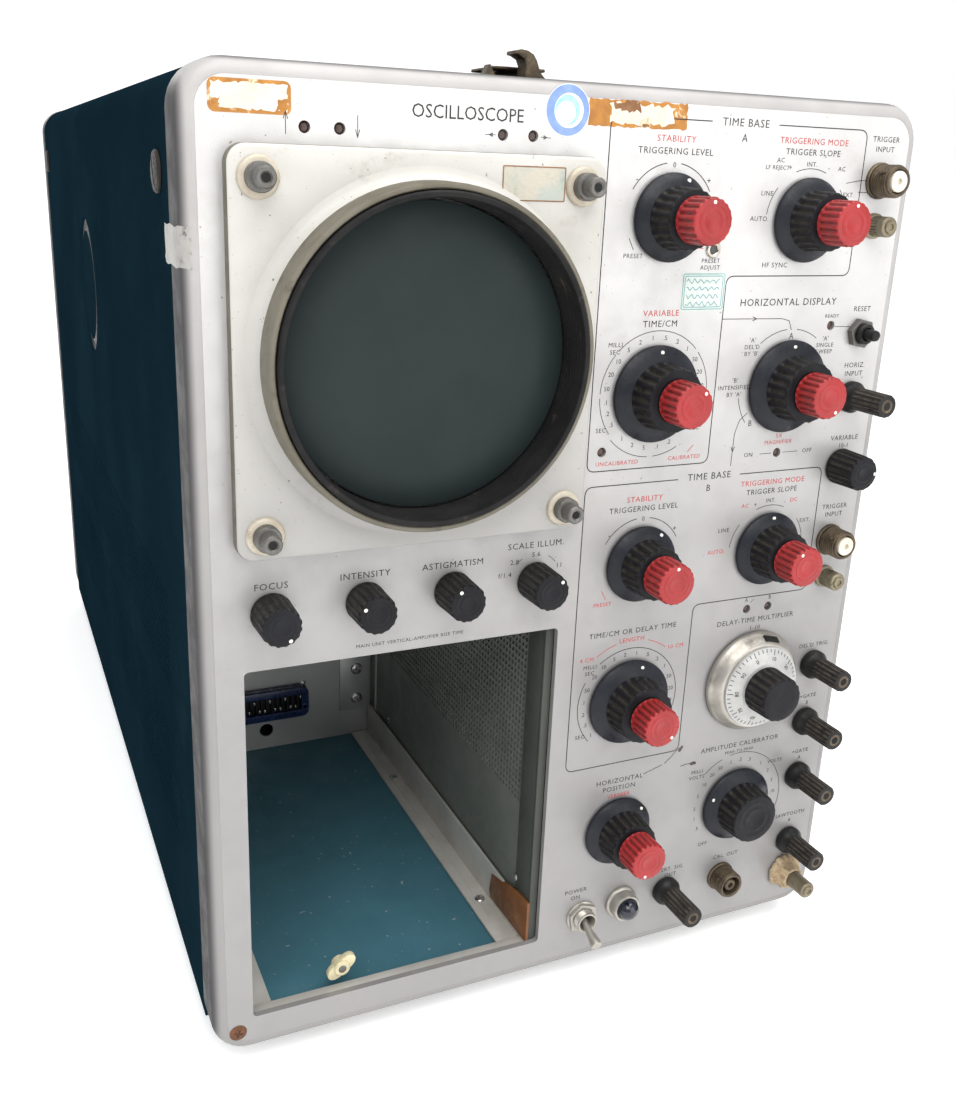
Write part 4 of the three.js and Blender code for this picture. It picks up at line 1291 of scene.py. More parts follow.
def makePowerToggle():
    x, z = leverPlace
    nut = hexNut("toggleNut", 14.4, 2.2, 5.4, "champagne")
    nut.data.transform(shift(0, 0, 1.0))
    washer = turned("toggleWasher", [(5.4, 0.05), (8.2, 0.05), (8.2, 0.9), (7.9, 1.1), (5.4, 1.1)],
                    ("champagne",), 40, True)
    collar = [(3.4, 0.1), (5.5, 0.1)] + [(5.5 - 0.35 * (i % 2),
                                          3.0 + i * 0.45) for i in range(8)] + [(5.1, 6.8), (4.4, 7.0),
                                                                                (3.9, 6.2),
                                                                                                  (3.4, 4.0)]
    bushing = turned("toggleBushing", collar, ("champagne",), 36, True)
    place(moved(joinPieces("toggleBush", [nut, washer, bushing]), faceOut(x, z, 0, 20)), "root",
          "nickel_plate")
    lever = turned("toggleBat", [(0, -3), (2, -3), (1.9, 0), (1.75, 6), (1.9, 10), (2.5, 14), (2.95, 16.2),
                                 (2.7, 17.8), (1.7, 18.3),
                                 (0, 18.4)], ("champagne",), 32)
    lever.data.transform(Matrix.Translation(at(x, 0, z)) @ turnBy(110, "X"))
    place(lever, "power_toggle_lever", "nickel_plate", "power_toggle_lever")


def makePilotLamp():
    ring = turned("pilotRing", [(5.6, 0.05), (8.6, 0.05), (8.6, 1.4), (8.1, 2.0), (7.5, 2.2), (7.4, 6.6),
                                (6.9, 7.4), (6.0, 7.4), (5.6, 6.8)],
                  ("champagne",), 48, True)
    dome = [(0, 2)] + [(5.6, 2), (5.6, 7.6)] + [(5.6 * math.cos(a), 7.6 + 5.3 * math.sin(a)) for a in
                                              [math.radians(d) for d in range(12, 90, 12)]] + [(0, 12.9)]
    jewel = turned("pilotJewel", dome, ("jewel",), 48)
    place(moved(joinPieces("pilotLamp", [ring, jewel]), faceOut(41.2, 29.7)), "root", "nickel_plate")


for key, (x, z, length) in postPlaces.items():
    makeBindingPost(key, x, z, length)
for entry in coaxPlaces:
    makeCoax(*entry)
makeGroundPosts()
makeResetButton()
makePowerToggle()
makePilotLamp()
print("posts, sockets and switches made")

dialSpec = {"x": 106, "z": 143, "divisions": 50, "tick": 0.36, "numbers": 10}


def textMesh(name, words, size, finishKey, thickness=0.05, stretch=1.0, spacing=1.0):
    curve = bpy.data.curves.new(name, "FONT")
    curve.body = words
    curve.size = size * mm * 1.39      # size is the height of a capital, in millimetres
    curve.space_character = spacing
    curve.align_x = "CENTER"
    curve.align_y = "CENTER"
    curve.extrude = thickness / 2 * mm
    curve.resolution_u = 2
    piece = bpy.data.objects.new(name, curve)
    bpy.context.scene.collection.objects.link(piece)
    made = bakeModifiers(piece)
    made.data.materials.clear()
    made.data.materials.append(materials[finishKey])
    made.data.transform(Matrix.Diagonal((stretch, 1, 1, 1)))
    return made


def tiltOntoCone(piece, radius, out, slope):
    # lays a flat mark made in X and Y at (0, 0) onto the dial's sloping skirt, at the top of the dial
    return moved(piece, shift(0, radius, out) @ Matrix.Rotation(-slope, 4, "X"))


def makeDelayDial():
    x, z = dialSpec["x"], dialSpec["z"]
    ring = turned("dialRing", [(5, 0.6), (25.4, 0.6), (26.3, 1.0), (26.4, 1.8), (26.2, 2.8), (25.6, 3.4),
                               (24.6, 5.0), (23.0, 7.6),
                               (22.4, 8.2), (21.8, 8.5), (5, 8.5)], ("champagne",), 96, True)
    window = slab("dialWindow", (8.4, 3.4, 0.8), "blackPlastic")
    moved(window, turnBy(-14, "Z") @ shift(0, 24.0, 6.0) @ turnBy(-58, "X"))
    place(moved(joinPieces("countingRing", [ring, window]), faceOut(x, z)), "delay_turns_ring",
          "nickel_plate", "delay_turns_ring")
    inner, outer, low, high = 13.6, 20.9, 9.5, 12.2
    slope = math.atan2(high - low, outer - inner)
    skirt = turned("dialSkirt", [(0, 8.9), (20.4, 8.9), (21, 9.2), (outer, low), (inner, high),
                                 (inner - 0.4, high + 0.1), (0, high + 0.1)],
                   ("satinSilver",), 96)
    parts = [skirt]
    knurl = flutedGrip("dialKnurl", {"radius": 21.2, "length": 1.0, "flutes": 90, "fluteDepth": 0.3,
                                     "edge": 0.2, "steps": 4,
                                     "sharp": 1.0, "start": 0.0, "end": 0.8, "rows": 9}, "satinSilver")
    parts.append(moved(knurl, shift(0, 0, 8.85)))
    for i in range(dialSpec["divisions"]):
        length = 3.0 if i % 5 == 0 else 1.9
        tick = slab("dialTick", (dialSpec["tick"], length, 0.12), "ink")
        radius = outer - 0.4 - length / 2
        tiltOntoCone(tick, radius, high - (radius - inner) * math.tan(slope), slope)
        parts.append(moved(tick, Matrix.Rotation(-2 * math.pi * i / dialSpec["divisions"], 4, "Z")))
    for i in range(dialSpec["numbers"]):
        label = textMesh("dialNumber", str(i * 10), 2.1, "ink", thickness=0.14)
        radius = inner + 2.1
        tiltOntoCone(label, radius, high - (radius - inner) * math.tan(slope), slope)
        parts.append(moved(label, Matrix.Rotation(-2 * math.pi * i / dialSpec["numbers"], 4, "Z")))
    grip = flutedGrip("dialGrip", {"radius": 11.4, "baseRadius": 11.8, "length": 13.6, "flutes": 18,
                                   "fluteDepth": 0.95, "edge": 1.8,
                                   "sharp": 1.4, "steps": 10, "start": 0.0, "end": 0.80}, "blackKnob")
    parts.append(moved(grip, shift(0, 0, 12.25)))
    parts.append(turned("dialShaft", [(0, -12.5), (3.4, -12.5), (3.4, 10), (0, 10)], ("brightMetal",), 24))
    place(moved(joinPieces("delayDial", parts), faceOut(x, z, 0, -20)), "delay_dial", "black_phenolic",
          "delay_dial")


makeDelayDial()
print("delay dial made")

# words, x, z, height of a capital, finish
legends = [
    ("OSCILLOSCOPE", -57.3, 400.4, 4.8, "ink"),
    ("MAIN UNIT VERTICAL-AMPLIFIER RISE TIME", -76, 190.6, 1.5, "ink"),
    ("FOCUS", -135.6, 221.6, 2.7, "ink"), ("INTENSITY", -96.5, 221.9, 2.7, "ink"),
    ("ASTIGMATISM", -57.5, 222.1, 2.7, "ink"), ("SCALE ILLUM.", -18.5, 226.9, 2.7, "ink"),
    ("2.8", -28.6, 219.8, 2.1, "ink"), ("5.6", -18.3, 222.4, 2.1, "ink"),
    ("f/1.4", -33.0, 214.2, 2.1, "ink"),
    ("11", -6.6, 216.2, 2.1, "ink"),
    ("TIME BASE", 69, 403, 3.1, "ink"), ("A", 69, 397, 3.1, "ink"),
    ("STABILITY", 35.4, 395.4, 2.5, "redInk"), ("TRIGGERING LEVEL", 35.6, 390.6, 2.5, "ink"),
    ("0", 35.4, 385.3, 2.1, "ink"),
    ("+", 53, 379.5, 2.6, "ink"), ("-", 18, 379.5, 2.6, "ink"), ("PRESET", 18.9, 348.9, 1.8, "ink"),
    ("PRESET", 57.9, 347, 1.8, "ink"), ("ADJUST", 57.9, 344.2, 1.8, "ink"),
    ("TRIGGERING MODE", 105.9, 397.1, 2.5, "redInk"), ("TRIGGER SLOPE", 105.9, 392.6, 2.5, "ink"),
    ("AC", 89.0, 389, 1.9, "ink"), ("LF REJECT", 87.6, 386, 1.7, "ink"), ("INT.", 105.9, 387.8, 1.9, "ink"),
    ("AC", 122.6, 386.4, 1.9, "ink"), ("LINE", 83.6, 375.3, 1.9, "ink"), ("EXT.", 128.2, 375.6, 1.9, "ink"),
    ("AUTO.", 81.0, 364.7, 2.0, "ink"), ("DC", 130.2, 366, 1.9, "ink"),
    ("HF SYNC", 92.0, 345.2, 2.1, "ink"),
    ("+", 94.4, 386.2, 2.2, "ink"), ("-", 115.4, 386.6, 2.2, "ink"),
    ("TRIGGER", 145.6, 399.6, 2.3, "ink"), ("INPUT", 145.6, 395.4, 2.3, "ink"),
    ("HORIZONTAL DISPLAY", 102.5, 329, 3.1, "ink"), ("RESET", 145.4, 325.4, 2.3, "ink"),
    ("READY", 128.1, 322.4, 1.6, "ink"),
    ("A", 106, 313.8, 2.7, "ink"), ("'A'", 84.8, 312.4, 2.0, "ink"), ("DEL'D", 84.8, 309.4, 1.9, "ink"),
    ("BY 'B'", 84.8, 306.4, 1.9, "ink"),
    ("'A'", 126, 312.2, 2.0, "ink"), ("SINGLE", 126, 309.2, 1.9, "ink"), ("SWEEP", 126, 306.2, 1.9, "ink"),
    ("'B'", 77.6, 294.6, 2.0, "ink"), ("INTENSIFIED", 77.6, 291.4, 1.9, "ink"),
    ("BY 'A'", 77.6, 288.2, 1.9, "ink"),
    ("B", 88.4, 274.4, 2.7, "ink"), ("5X", 106, 267.6, 1.9, "redInk"),
    ("MAGNIFIER", 106, 264.6, 1.9, "redInk"),
    ("ON", 89.6, 259.4, 2.0, "ink"), ("OFF", 123.6, 259.4, 2.0, "ink"),
    ("HORIZ.", 145.6, 299.2, 2.3, "ink"), ("INPUT", 145.6, 295.2, 2.3, "ink"),
    ("VARIABLE", 145.6, 264.2, 2.3, "ink"), ("10-1", 145.6, 260.4, 2.1, "ink"),
    ("VARIABLE", 35.2, 325.2, 2.5, "redInk"), ("TIME/CM", 35.2, 320.7, 2.7, "ink"),
    ("MILLI", 13.8, 312.3, 1.9, "ink"),
    ("SEC", 13.8, 309.2, 1.9, "ink"), ("SEC", 9.6, 275.6, 1.9, "ink"), ("SEC", 57.9, 274.2, 1.9, "ink"),
    ("UNCALIBRATED", 19, 260.6, 1.8, "redInk"), ("CALIBRATED", 54, 260.9, 1.8, "redInk"),
    ("TIME BASE", 69, 250.9, 3.1, "ink"), ("B", 69, 245.2, 3.1, "ink"),
    ("STABILITY", 35.2, 243, 2.5, "redInk"), ("TRIGGERING LEVEL", 35.2, 238.5, 2.5, "ink"),
    ("0", 35.2, 233.6, 2.1, "ink"),
    ("+", 52.6, 227.4, 2.6, "ink"), ("-", 18, 227.4, 2.6, "ink"), ("PRESET", 17.2, 194.2, 1.8, "redInk"),
    ("TRIGGERING MODE", 105.9, 245.4, 2.5, "redInk"), ("TRIGGER SLOPE", 105.9, 241, 2.5, "ink"),
    ("INT.", 105.9, 236.2, 1.9, "ink"), ("AC", 91.2, 234.6, 1.9, "redInk"),
    ("DC", 119.6, 235.4, 1.9, "redInk"),
    ("LINE", 80.4, 223.6, 1.9, "ink"), ("EXT.", 128.0, 224.4, 1.9, "ink"),
    ("AUTO.", 77.4, 213.2, 2.0, "redInk"),
    ("+", 97.2, 234.8, 2.0, "ink"), ("-", 114.2, 234.9, 2.0, "ink"),
    ("TRIGGER", 145.6, 229.8, 2.3, "ink"), ("INPUT", 145.6, 225.8, 2.3, "ink"),
    ("A", 98.6, 186.2, 2.0, "ink"), ("B", 112.6, 186.2, 2.0, "ink"),
    ("DELAY-TIME MULTIPLIER", 105.6, 175.4, 2.5, "ink"),
    ("1-10", 105.6, 171, 2.1, "ink"), ("DEL'D TRIG.", 145.0, 156.2, 2.1, "ink"),
    ("TIME/CM OR DELAY TIME", 35.2, 179, 2.5, "ink"), ("LENGTH", 34.8, 174.6, 2.2, "redInk"),
    ("4 CM", 11.2, 167.4, 2.0, "redInk"),
    ("10 CM", 59.6, 167.8, 2.0, "redInk"), ("MILLI", 13.2, 163.6, 1.9, "ink"),
    ("SEC", 13.2, 160.5, 1.9, "ink"),
    ("SEC", 10.4, 128.0, 1.9, "ink"),
    ("+GATE", 145.6, 127.2, 2.1, "ink"), ("B", 145.6, 123.4, 2.1, "ink"),
    ("+GATE", 145.6, 95.2, 2.1, "ink"), ("A", 145.6, 91.4, 2.1, "ink"),
    ("SAWTOOTH", 144.8, 57.4, 2.1, "ink"), ("A", 144.8, 53.6, 2.1, "ink"),
    ("AMPLITUDE CALIBRATOR", 105.6, 106.8, 2.5, "ink"), ("PEAK-TO-PEAK", 105.6, 103, 1.6, "ink"),
    ("MILLI", 80.6, 95.6, 1.9, "ink"),
    ("VOLTS", 80.6, 92.4, 1.9, "ink"), ("VOLTS", 129.4, 92.6, 1.9, "ink"), ("OFF", 88.8, 51.8, 2.0, "ink"),
    ("HORIZONTAL", 34.8, 100.4, 2.5, "ink"), ("POSITION", 34.8, 96.2, 2.5, "ink"),
    ("VERNIER", 34.8, 92.1, 2.0, "redInk"),
    ("POWER", 14.8, 42, 2.2, "ink"), ("ON", 14.8, 38.2, 2.1, "ink"), ("VERT. SIG.", 70.6, 41.5, 2.1, "ink"),
    ("OUT", 70.6, 37.9, 2.1, "ink"),
    ("CAL. OUT", 104.8, 41.4, 2.1, "ink"),
]
# numbers set round a knob: centre, radius, then the angle of each from straight up, clockwise
numberRings = [
    (35.1, 290.7, 24.2, {-173: "5", -158: "2", -143: "1", -122: ".5", -109: ".2", -97: ".1", -83: "50",
                         -68: "20", -53: "10",
                         -37: "5", -22: "2", -7: "1", 8: ".5", 23: ".2", 38: ".1", 54: "50", 69: "20",
                         84: "10", 99: "5",
                         114: "2", 156: ".2", 171: ".1"}),
    (35.1, 143.3, 24.2, {-129: "1", -113: ".5", -99: ".2", -84: ".1", -69: "50", -52: "20", -37: "10",
                         -22: "5", -8: "2", 7: "1",
                         22: ".5", 37: ".2", 52: ".1", 68: "50", 84: "20", 99: "10"}),
    (106, 73, 24.6, {-117: ".5", -102: "1", -88: "2", -71: "5", -55: "10", -40: "20", -27: "50", -12: ".1",
                     2: ".2", 16: ".5",
                     36: "1", 53: "2", 70: "5", 87: "10", 103: "20"}),
]
# arcs: centre, radius, from, to, width, finish
arcLines = [
    (35.1, 364.5, 21.7, -60, -9, 0.35, "ink"), (35.1, 364.5, 21.7, 9, 60, 0.35, "ink"),
    (35.1, 212.5, 21.7, -60, -9, 0.35, "ink"), (35.1, 212.5, 21.7, 9, 60, 0.35, "ink"),
    (35.1, 290.7, 27.2, -46, 46, 0.3, "ink"), (35.1, 290.7, 27.2, 50, 104, 0.3, "ink"),
    (35.1, 290.7, 27.2, -88, -50, 0.3, "ink"),
    (35.1, 290.7, 27.2, -128, -92, 0.3, "ink"), (35.1, 290.7, 28.2, -178, -134, 0.3, "ink"),
    (35.1, 290.7, 28.2, 150, 176, 0.3, "ink"),
    (106, 291, 26.0, -40, -6, 0.3, "ink"), (106, 291, 26.0, 6, 34, 0.3, "ink"),
    (106, 291, 26.0, -128, -100, 0.3, "ink"),
    (106, 364.5, 21.6, -22, 22, 0.3, "ink"), (106, 364.5, 21.6, 52, 84, 0.3, "ink"),
    (106, 364.5, 21.6, -84, -52, 0.3, "ink"),
    (106, 212.5, 21.4, -22, 22, 0.3, "ink"), (106, 212.5, 21.4, 52, 84, 0.3, "ink"),
    (106, 212.5, 21.4, -84, -52, 0.3, "ink"),
    (35.1, 143.3, 27.0, -38, 108, 0.35, "ink"), (35.1, 143.3, 27.0, -132, -62, 0.35, "ink"),
    (35.1, 143.3, 31.2, -37, -16, 0.3, "redInk"), (35.1, 143.3, 31.2, 16, 37, 0.3, "redInk"),
    (106, 73, 28.8, -46, -22, 0.3, "ink"), (106, 73, 28.8, -12, 120, 0.3, "ink"),
    (-18.5, 210.5, 12.4, -50, -32, 0.25, "ink"), (-18.5, 210.5, 12.4, 30, 52, 0.25, "ink"),
]
borderSpec = {"width": 0.45, "radius": 4}
bordersA = [(52, 403), (4, 403), (4, 257.5), (67, 257.5), (67, 340.6), (134.4, 340.6), (134.4, 403),
            (86, 403)]
bordersB = [(52, 250.6), (4, 250.6), (4, 110.5), (67.5, 110.5), (67.5, 187.8), (134.4, 187.8),
            (134.4, 250.6), (86, 250.6)]
plainLines = [
    ([(67.3, 322.2), (99.5, 321.8), (103.8, 320.8), (105.6, 316.6)], 0.3, "ink"),
    ([(83.4, 322.9), (85.6, 322), (83.4, 321.1)], 0.35, "ink"),
    ([(86.4, 279.5), (82.4, 276.2), (80.4, 270), (80.2, 255)], 0.3, "ink"),
    ([(79.3, 264), (80.3, 261.6), (81.3, 264)], 0.35, "ink"),
    ([(130.4, 317.6), (140, 317.4)], 0.25, "ink"), ([(126, 380.6), (134, 382), (137, 382)], 0.25, "ink"),
    ([(96, 259.5), (102.6, 259.5)], 0.25, "ink"), ([(109.4, 259.5), (118, 259.5)], 0.25, "ink"),
    ([(16.4, 356), (18.8, 351.4)], 0.3, "ink"), ([(50.5, 352.4), (53.6, 352.1)], 0.25, "redInk"),
    ([(16.2, 201), (18.6, 196.6)], 0.3, "redInk"), ([(55.4, 263.2), (58.4, 266.4)], 0.3, "redInk"),
    ([(-127.3, 398.2), (-127.3, 390.4)], 0.25, "ink"),
    ([(-128.1, 395.4), (-127.3, 398.2), (-126.5, 395.4)], 0.3, "ink"),
    ([(-100.8, 390.2), (-100.8, 397.8)], 0.25, "ink"),
    ([(-101.6, 393), (-100.8, 390.2), (-100, 393)], 0.3, "ink"),
    ([(-50.4, 393.5), (-46, 393.5)], 0.2, "ink"),
    ([(-48.6, 393.5), (-47.4, 394.1), (-47.4, 392.9), (-48.6, 393.5)], 0.3, "ink"),
    ([(-26.8, 393.5), (-22.4, 393.3)], 0.2, "ink"),
    ([(-24.2, 393.4), (-25.4, 394), (-25.4, 392.8), (-24.2, 393.4)], 0.3, "ink"),
    ([(101, 184.8), (103.2, 186.3)], 0.2, "ink"), ([(139.5, 377), (133.5, 377)], 0.25, "ink"),
]


def ribbon(name, points, width, finishKey, thickness=0.05):
    # a thin printed line: left and right edges offset from the path, closed top, bottom and ends
    left, right = [], []
    count = len(points)
    for i, (x, y) in enumerate(points):
        ahead = Vector(points[min(i + 1, count - 1)]) - Vector(points[i])
        behind = Vector(points[i]) - Vector(points[max(i - 1, 0)])
        direction = (ahead.normalized() if ahead.length else behind.normalized())
        if ahead.length and behind.length:
            direction = (ahead.normalized() + behind.normalized()).normalized()
            reach = width / 2 / max(direction.dot(ahead.normalized()), 0.5)
        else:
            reach = width / 2
        across = Vector((-direction.y, direction.x)) * reach
        left.append((x + across.x, y + across.y))
        right.append((x - across.x, y - across.y))
    verts = [(x * mm, y * mm, z * mm) for z in (thickness, 0) for x, y in left + right]
    n, total = count, 2 * count
    faces = []
    for i in range(n - 1):
        faces.append((n + i, n + i + 1, i + 1, i))
        faces.append((total + i, total + i + 1, total + n + i + 1, total + n + i))
        faces.append((i, i + 1, total + i + 1, total + i))
        faces.append((n + i + 1, n + i, total + n + i, total + n + i + 1))
    faces.append((0, total, total + n, n))
    faces.append((n - 1, 2 * n - 1, total + 2 * n - 1, total + n - 1))
    return meshFrom(name, verts, faces, (finishKey,))


def roundCorners(points, radius, steps=6):
    out = [points[0]]
    for before, corner, after in zip(points, points[1:], points[2:]):
        c = Vector(corner)
        a = c + (Vector(before) - c).normalized() * radius
        b = c + (Vector(after) - c).normalized() * radius
        for i in range(steps + 1):
            t = i / steps
            out.append(tuple(a * (1 - t) ** 2 + c * 2 * t * (1 - t) + b * t * t))
    out.append(points[-1])
    return out


def arcPoints(x, z, radius, start, end):
    steps = max(4, int(abs(end - start) / 5))
    turns = [math.radians(start + (end - start) * i / steps) for i in range(steps + 1)]
    return [(x + radius * math.sin(t), z + radius * math.cos(t)) for t in turns]


def makeLegends():
    printed = {"ink": [], "redInk": []}
    for words, x, z, size, key in legends:
        wide = len(words) > 1 and size < 4
        label = textMesh("legend", words, size * 1.04, key, stretch=1.05 if wide else 0.94,
                         spacing=1.12 if wide else 1.0)
        printed[key].append(moved(label, shift(x, z, 0.02)))
    for x, z, radius, words in numberRings:
        for angle, word in words.items():
            turn = math.radians(angle)
            label = textMesh("ringNumber", word, 2.05, "ink")
            printed["ink"].append(moved(label, Matrix.Translation(((x + radius * math.sin(turn)) * mm,
                                                                 (z + radius * math.cos(turn)) * mm,
                                                                 0.02 * mm))))
    for x, z, radius, start, end, width, key in arcLines:
        printed[key].append(ribbon("arcLine", arcPoints(x, z, radius, start, end), width, key))
    for path in (bordersA, bordersB):
        printed["ink"].append(ribbon("border", roundCorners(path, borderSpec["radius"]),
                                     borderSpec["width"], "ink"))
    for path, width, key in plainLines:
        printed[key].append(ribbon("plainLine", path, width, key))
    for key, pieces in printed.items():
        made = joinPieces("printedBlack" if key == "ink" else "printedRed", pieces)
        place(moved(made, onPanel(0.005)), "root", "anodised_panel")


makeLegends()
print("legends printed")


def crossScrew(name, radius, rise, finishKey):
    # a pan head with a cross recess, made along +Z
    profile = [(0, -1.5), (radius * 0.5, -1.5), (radius * 0.5, 0), (radius, 0), (radius, rise * 0.35),
               (radius * 0.86, rise * 0.75),
               (radius * 0.5, rise), (0, rise * 1.05)]
    head = turned(name, profile, (finishKey,), 20)
    for turn in (0, 90):
        blade = moved(slab(name + "Blade", (radius * 1.25, radius * 0.26, rise), finishKey),
                      shift(0, 0, rise) @ turnBy(turn, "Z"))
        carve = head.modifiers.new("cross", "BOOLEAN")
        carve.operation, carve.object, carve.solver = "DIFFERENCE", blade, "EXACT"
        head = bakeModifiers(head)
        bpy.data.objects.remove(blade)
    return head


def facingLeft(x):
    # stands a sheet drawn in (depth behind the panel, height) at x, its face to the left
    return Matrix(((0, 0, -1, x * mm), (1, 0, 0, panelY), (0, 1, 0, lift), (0, 0, 0, 1)))


def standLeft(piece, x):
    moved(piece, facingLeft(x))
    piece.data.flip_normals()
    return piece


bayMesh = {"y0": 22, "y1": 218, "z0": 84, "z1": 190, "pitch": 3.4, "hole": 1.5}


def makeBayWalls():
    m = bayMesh
    window = [(m["y0"], m["z0"]), (m["y1"], m["z0"]), (m["y1"], m["z1"]), (m["y0"], m["z1"])]
    side = flatSheet("baySide", [[(5, 12.4), (246, 12.4), (246, 199), (24, 199), (24, 192), (5, 192)],
                                 window], 1.5,
                     ("bayWallMetal",))
    net = perforatedBand("bayNet", m["y0"], m["y1"], m["z0"], m["z1"], m["pitch"], m["hole"], 1.0,
                         "bayWallMetal")
    wall = [standLeft(side, -8), standLeft(net, -8.1)]
    back = flatSheet("bayBack", [[(-160, 12.4), (-8.2, 12.4), (-8.2, 199), (-160, 199)],
                                 [(-115, 37), (-55, 37), (-55, 54), (-115, 54)],
                                 circleOutline(-79.9, 25.4, 4.5, 24)], 1.5,
                     ("sheetMetal",))
    wall.append(moved(back, onPanel(-244.5)))
    wall.append(box("bayRoof", (-160, -24, 197.5), (-8.2, -246, 199), ("sheetMetal",)))
    wall.append(box("bayCornerPlate", (-30, -243.2, 31), (-9, -244.5, 74), ("sheetMetal",), 0.3))
    wall.append(box("baySeam", (-8.9, -232, 24), (-8, -233.6, 197), ("railMetal",), 0.2))
    # the front fold and the return are painted dark as shade
    wall.append(box("bayFrontFold", (-9.2, -5.1, 30), (-8.05, -19.5, 191), ("bayFold",), 0.3))
    wall.append(box("bayReturn", (-9.2, -3.1, 13), (-5.2, -5.0, 192), ("bayFold",), 0.2))
    rails = [box("railFootRight", (-22, -9, 12.4), (-9.2, -243, 14.0), ("railMetal",), 0.25),
             box("railLegRight", (-10.5, -9, 13.8), (-9.1, -243, 34), ("railMetal",), 0.25),
             box("railFootLeft", (-149.0, -9, 12.4), (-136.3, -243, 14.0), ("railMetal",), 0.25),
             box("railLegLeft", (-149.3, -9, 13.8), (-147.8, -243, 33), ("railMetal",), 0.25),
             box("railRib", (-17.2, -30, 14), (-16.2, -228, 14.5), ("railMetal",), 0.15),
             box("sillLip", (-147, -3.1, 11.9), (-5.4, -8.8, 16.8), ("railMetal",), 0.4)]
    wall += rails
    place(joinPieces("bayLining", wall), "root", "plated_sheet", "bay_liner")
    screws = [(-18.5, 60.8, 0), (-18.4, 39.3, 0), (-55.3, 55.2, 0)]
    heads = [moved(crossScrew("bayScrew", 4.0 if i < 2 else 2.2, 1.4, "brightMetal"),
                   faceOut(x, z, -243.2 if i < 2 else -244.5, 30 * i))
             for i, (x, z, _) in enumerate(screws)]
    for y in (46, 178):
        head = crossScrew("railScrew", 2.7, 1.2, "brightMetal")
        heads.append(moved(head, Matrix.Translation(at(-15.5, -y, 14)) @ Matrix.Rotation(0.6, 4, "Z")))
    for y, z in ((19, 44), (208, 38)):
        head = crossScrew("wallScrew", 2.0, 0.9, "brightMetal")
        where = at(-9.3 if y < 20 else -8, -y, z)
        heads.append(moved(head, Matrix.Translation(where) @ turnBy(-90, "Y")))
    place(joinPieces("bayScrews", heads), "root", "nickel_plate")
    board = flatSheet("guideBoard", [[(2.6, 16.5), (44, 15.2), (45.5, 19), (43.5, 30.5), (30, 34),
                                      (14, 38.5), (2.6, 39.5)]], 1.4,
                      ("brownBoard",), 0.25)
    place(standLeft(board, -10.6), "root", "brown_phenolic")


def makeBayConnector():
    edge = roundedOutline(-117, 35.2, -53, 56, 4.5, 6)
    front = flatSheet("socketFront", [edge, [(-112, 40), (-58, 40), (-58, 51), (-112, 51)],
                                      circleOutline(-55.8, 42.2, 1.3, 12),
                                      circleOutline(-114.3, 42.2, 1.3, 12)], 5, ("connectorBlue",), 0.5, 2)
    parts = [moved(front, onPanel(-237.2))]
    back = flatSheet("socketBack", [edge], 2.2, ("connectorBlue",), 0.2, 1)
    parts.append(moved(back, onPanel(-242)))
    cell = slab("socketContact", (1.1, 2.2, 4.0), "brightMetal", 0.2)
    points = [(-109.2 + i * 3.4, 42.2 + 6.2 * (i * 5 % 3 == 0), -240.4) for i in range(16)]
    parts.append(repeated("socketContacts", cell, points, onPanel(0), "brightMetal"))
    rib = slab("socketRib", (1.6, 10.6, 2.6), "blackPlastic", 0.1)
    ribs = [(-110.9 + i * 3.4, 45.5, -240.4) for i in range(16)]
    parts.append(repeated("socketRibs", rib, ribs, onPanel(0), "blackPlastic"))
    # the dark floor behind the contacts is painted shade inside the slot
    parts.append(box("socketFloor", (-112.2, -241.4, 39.8), (-57.8, -242.05, 51.2), ("holeDark",)))
    for x in (-55.8, -114.3):
        ring = turned("socketEar", [(1.2, -0.4), (2.1, -0.4), (2.1, 0.25), (1.8, 0.4), (1.2, 0.4)],
                      ("connectorBlue",), 20, True)
        parts.append(moved(ring, faceOut(x, 42.2, -237.2)))
    place(joinPieces("bayConnector", parts), "root", "connector_blue", "plug_in_connector")


def makeLatchCam():
    x, z = -103.7, 25.6
    outline = []
    for i in range(48):
        angle = 2 * math.pi * i / 48
        radius = 3.7 + 4.2 * abs(math.cos(angle)) ** 4
        outline.append((radius * math.cos(angle), radius * math.sin(angle)))
    body = moved(flatSheet("camLobes", [outline], 3.4, ("nylon",), 0.5), shift(0, 0, -7.8))
    hub = turned("camHub", [(0, -12.4), (3.9, -12.4), (3.9, -7.4), (3.4, -6.9), (0, -6.9)], ("nylon",), 28)
    head = turned("camScrew", [(0, -7.2), (1.9, -7.2), (1.9, -6.75), (1.5, -6.55), (0, -6.5)],
                  ("studMetal",), 20)
    made = joinPieces("latchCam", [body, hub, head])
    place(moved(made, faceOut(x, z, 0, -38)), "bay_latch_cam", "nylon", "bay_latch_cam")


makeBayWalls()
makeBayConnector()
makeLatchCam()
print("bay made")


def blotchOutline(x0, z0, x1, z1, ragged, steps=64, seed=1):
    # a rectangle with uneven torn edges
    rng = random.Random(seed)
    points = []
    for (ax, az), (bx, bz) in (((x0, z0), (x1, z0)), ((x1, z0), (x1, z1)), ((x1, z1), (x0, z1)),
                               ((x0, z1), (x0, z0))):
        count = max(3, int(steps * (abs(bx - ax) + abs(bz - az)) / (2 * (x1 - x0 + z1 - z0))))
        for i in range(count):
            t = i / count
            points.append((ax + (bx - ax) * t + rng.uniform(-ragged, ragged),
                           az + (bz - az) * t + rng.uniform(-ragged, ragged)))
    return points


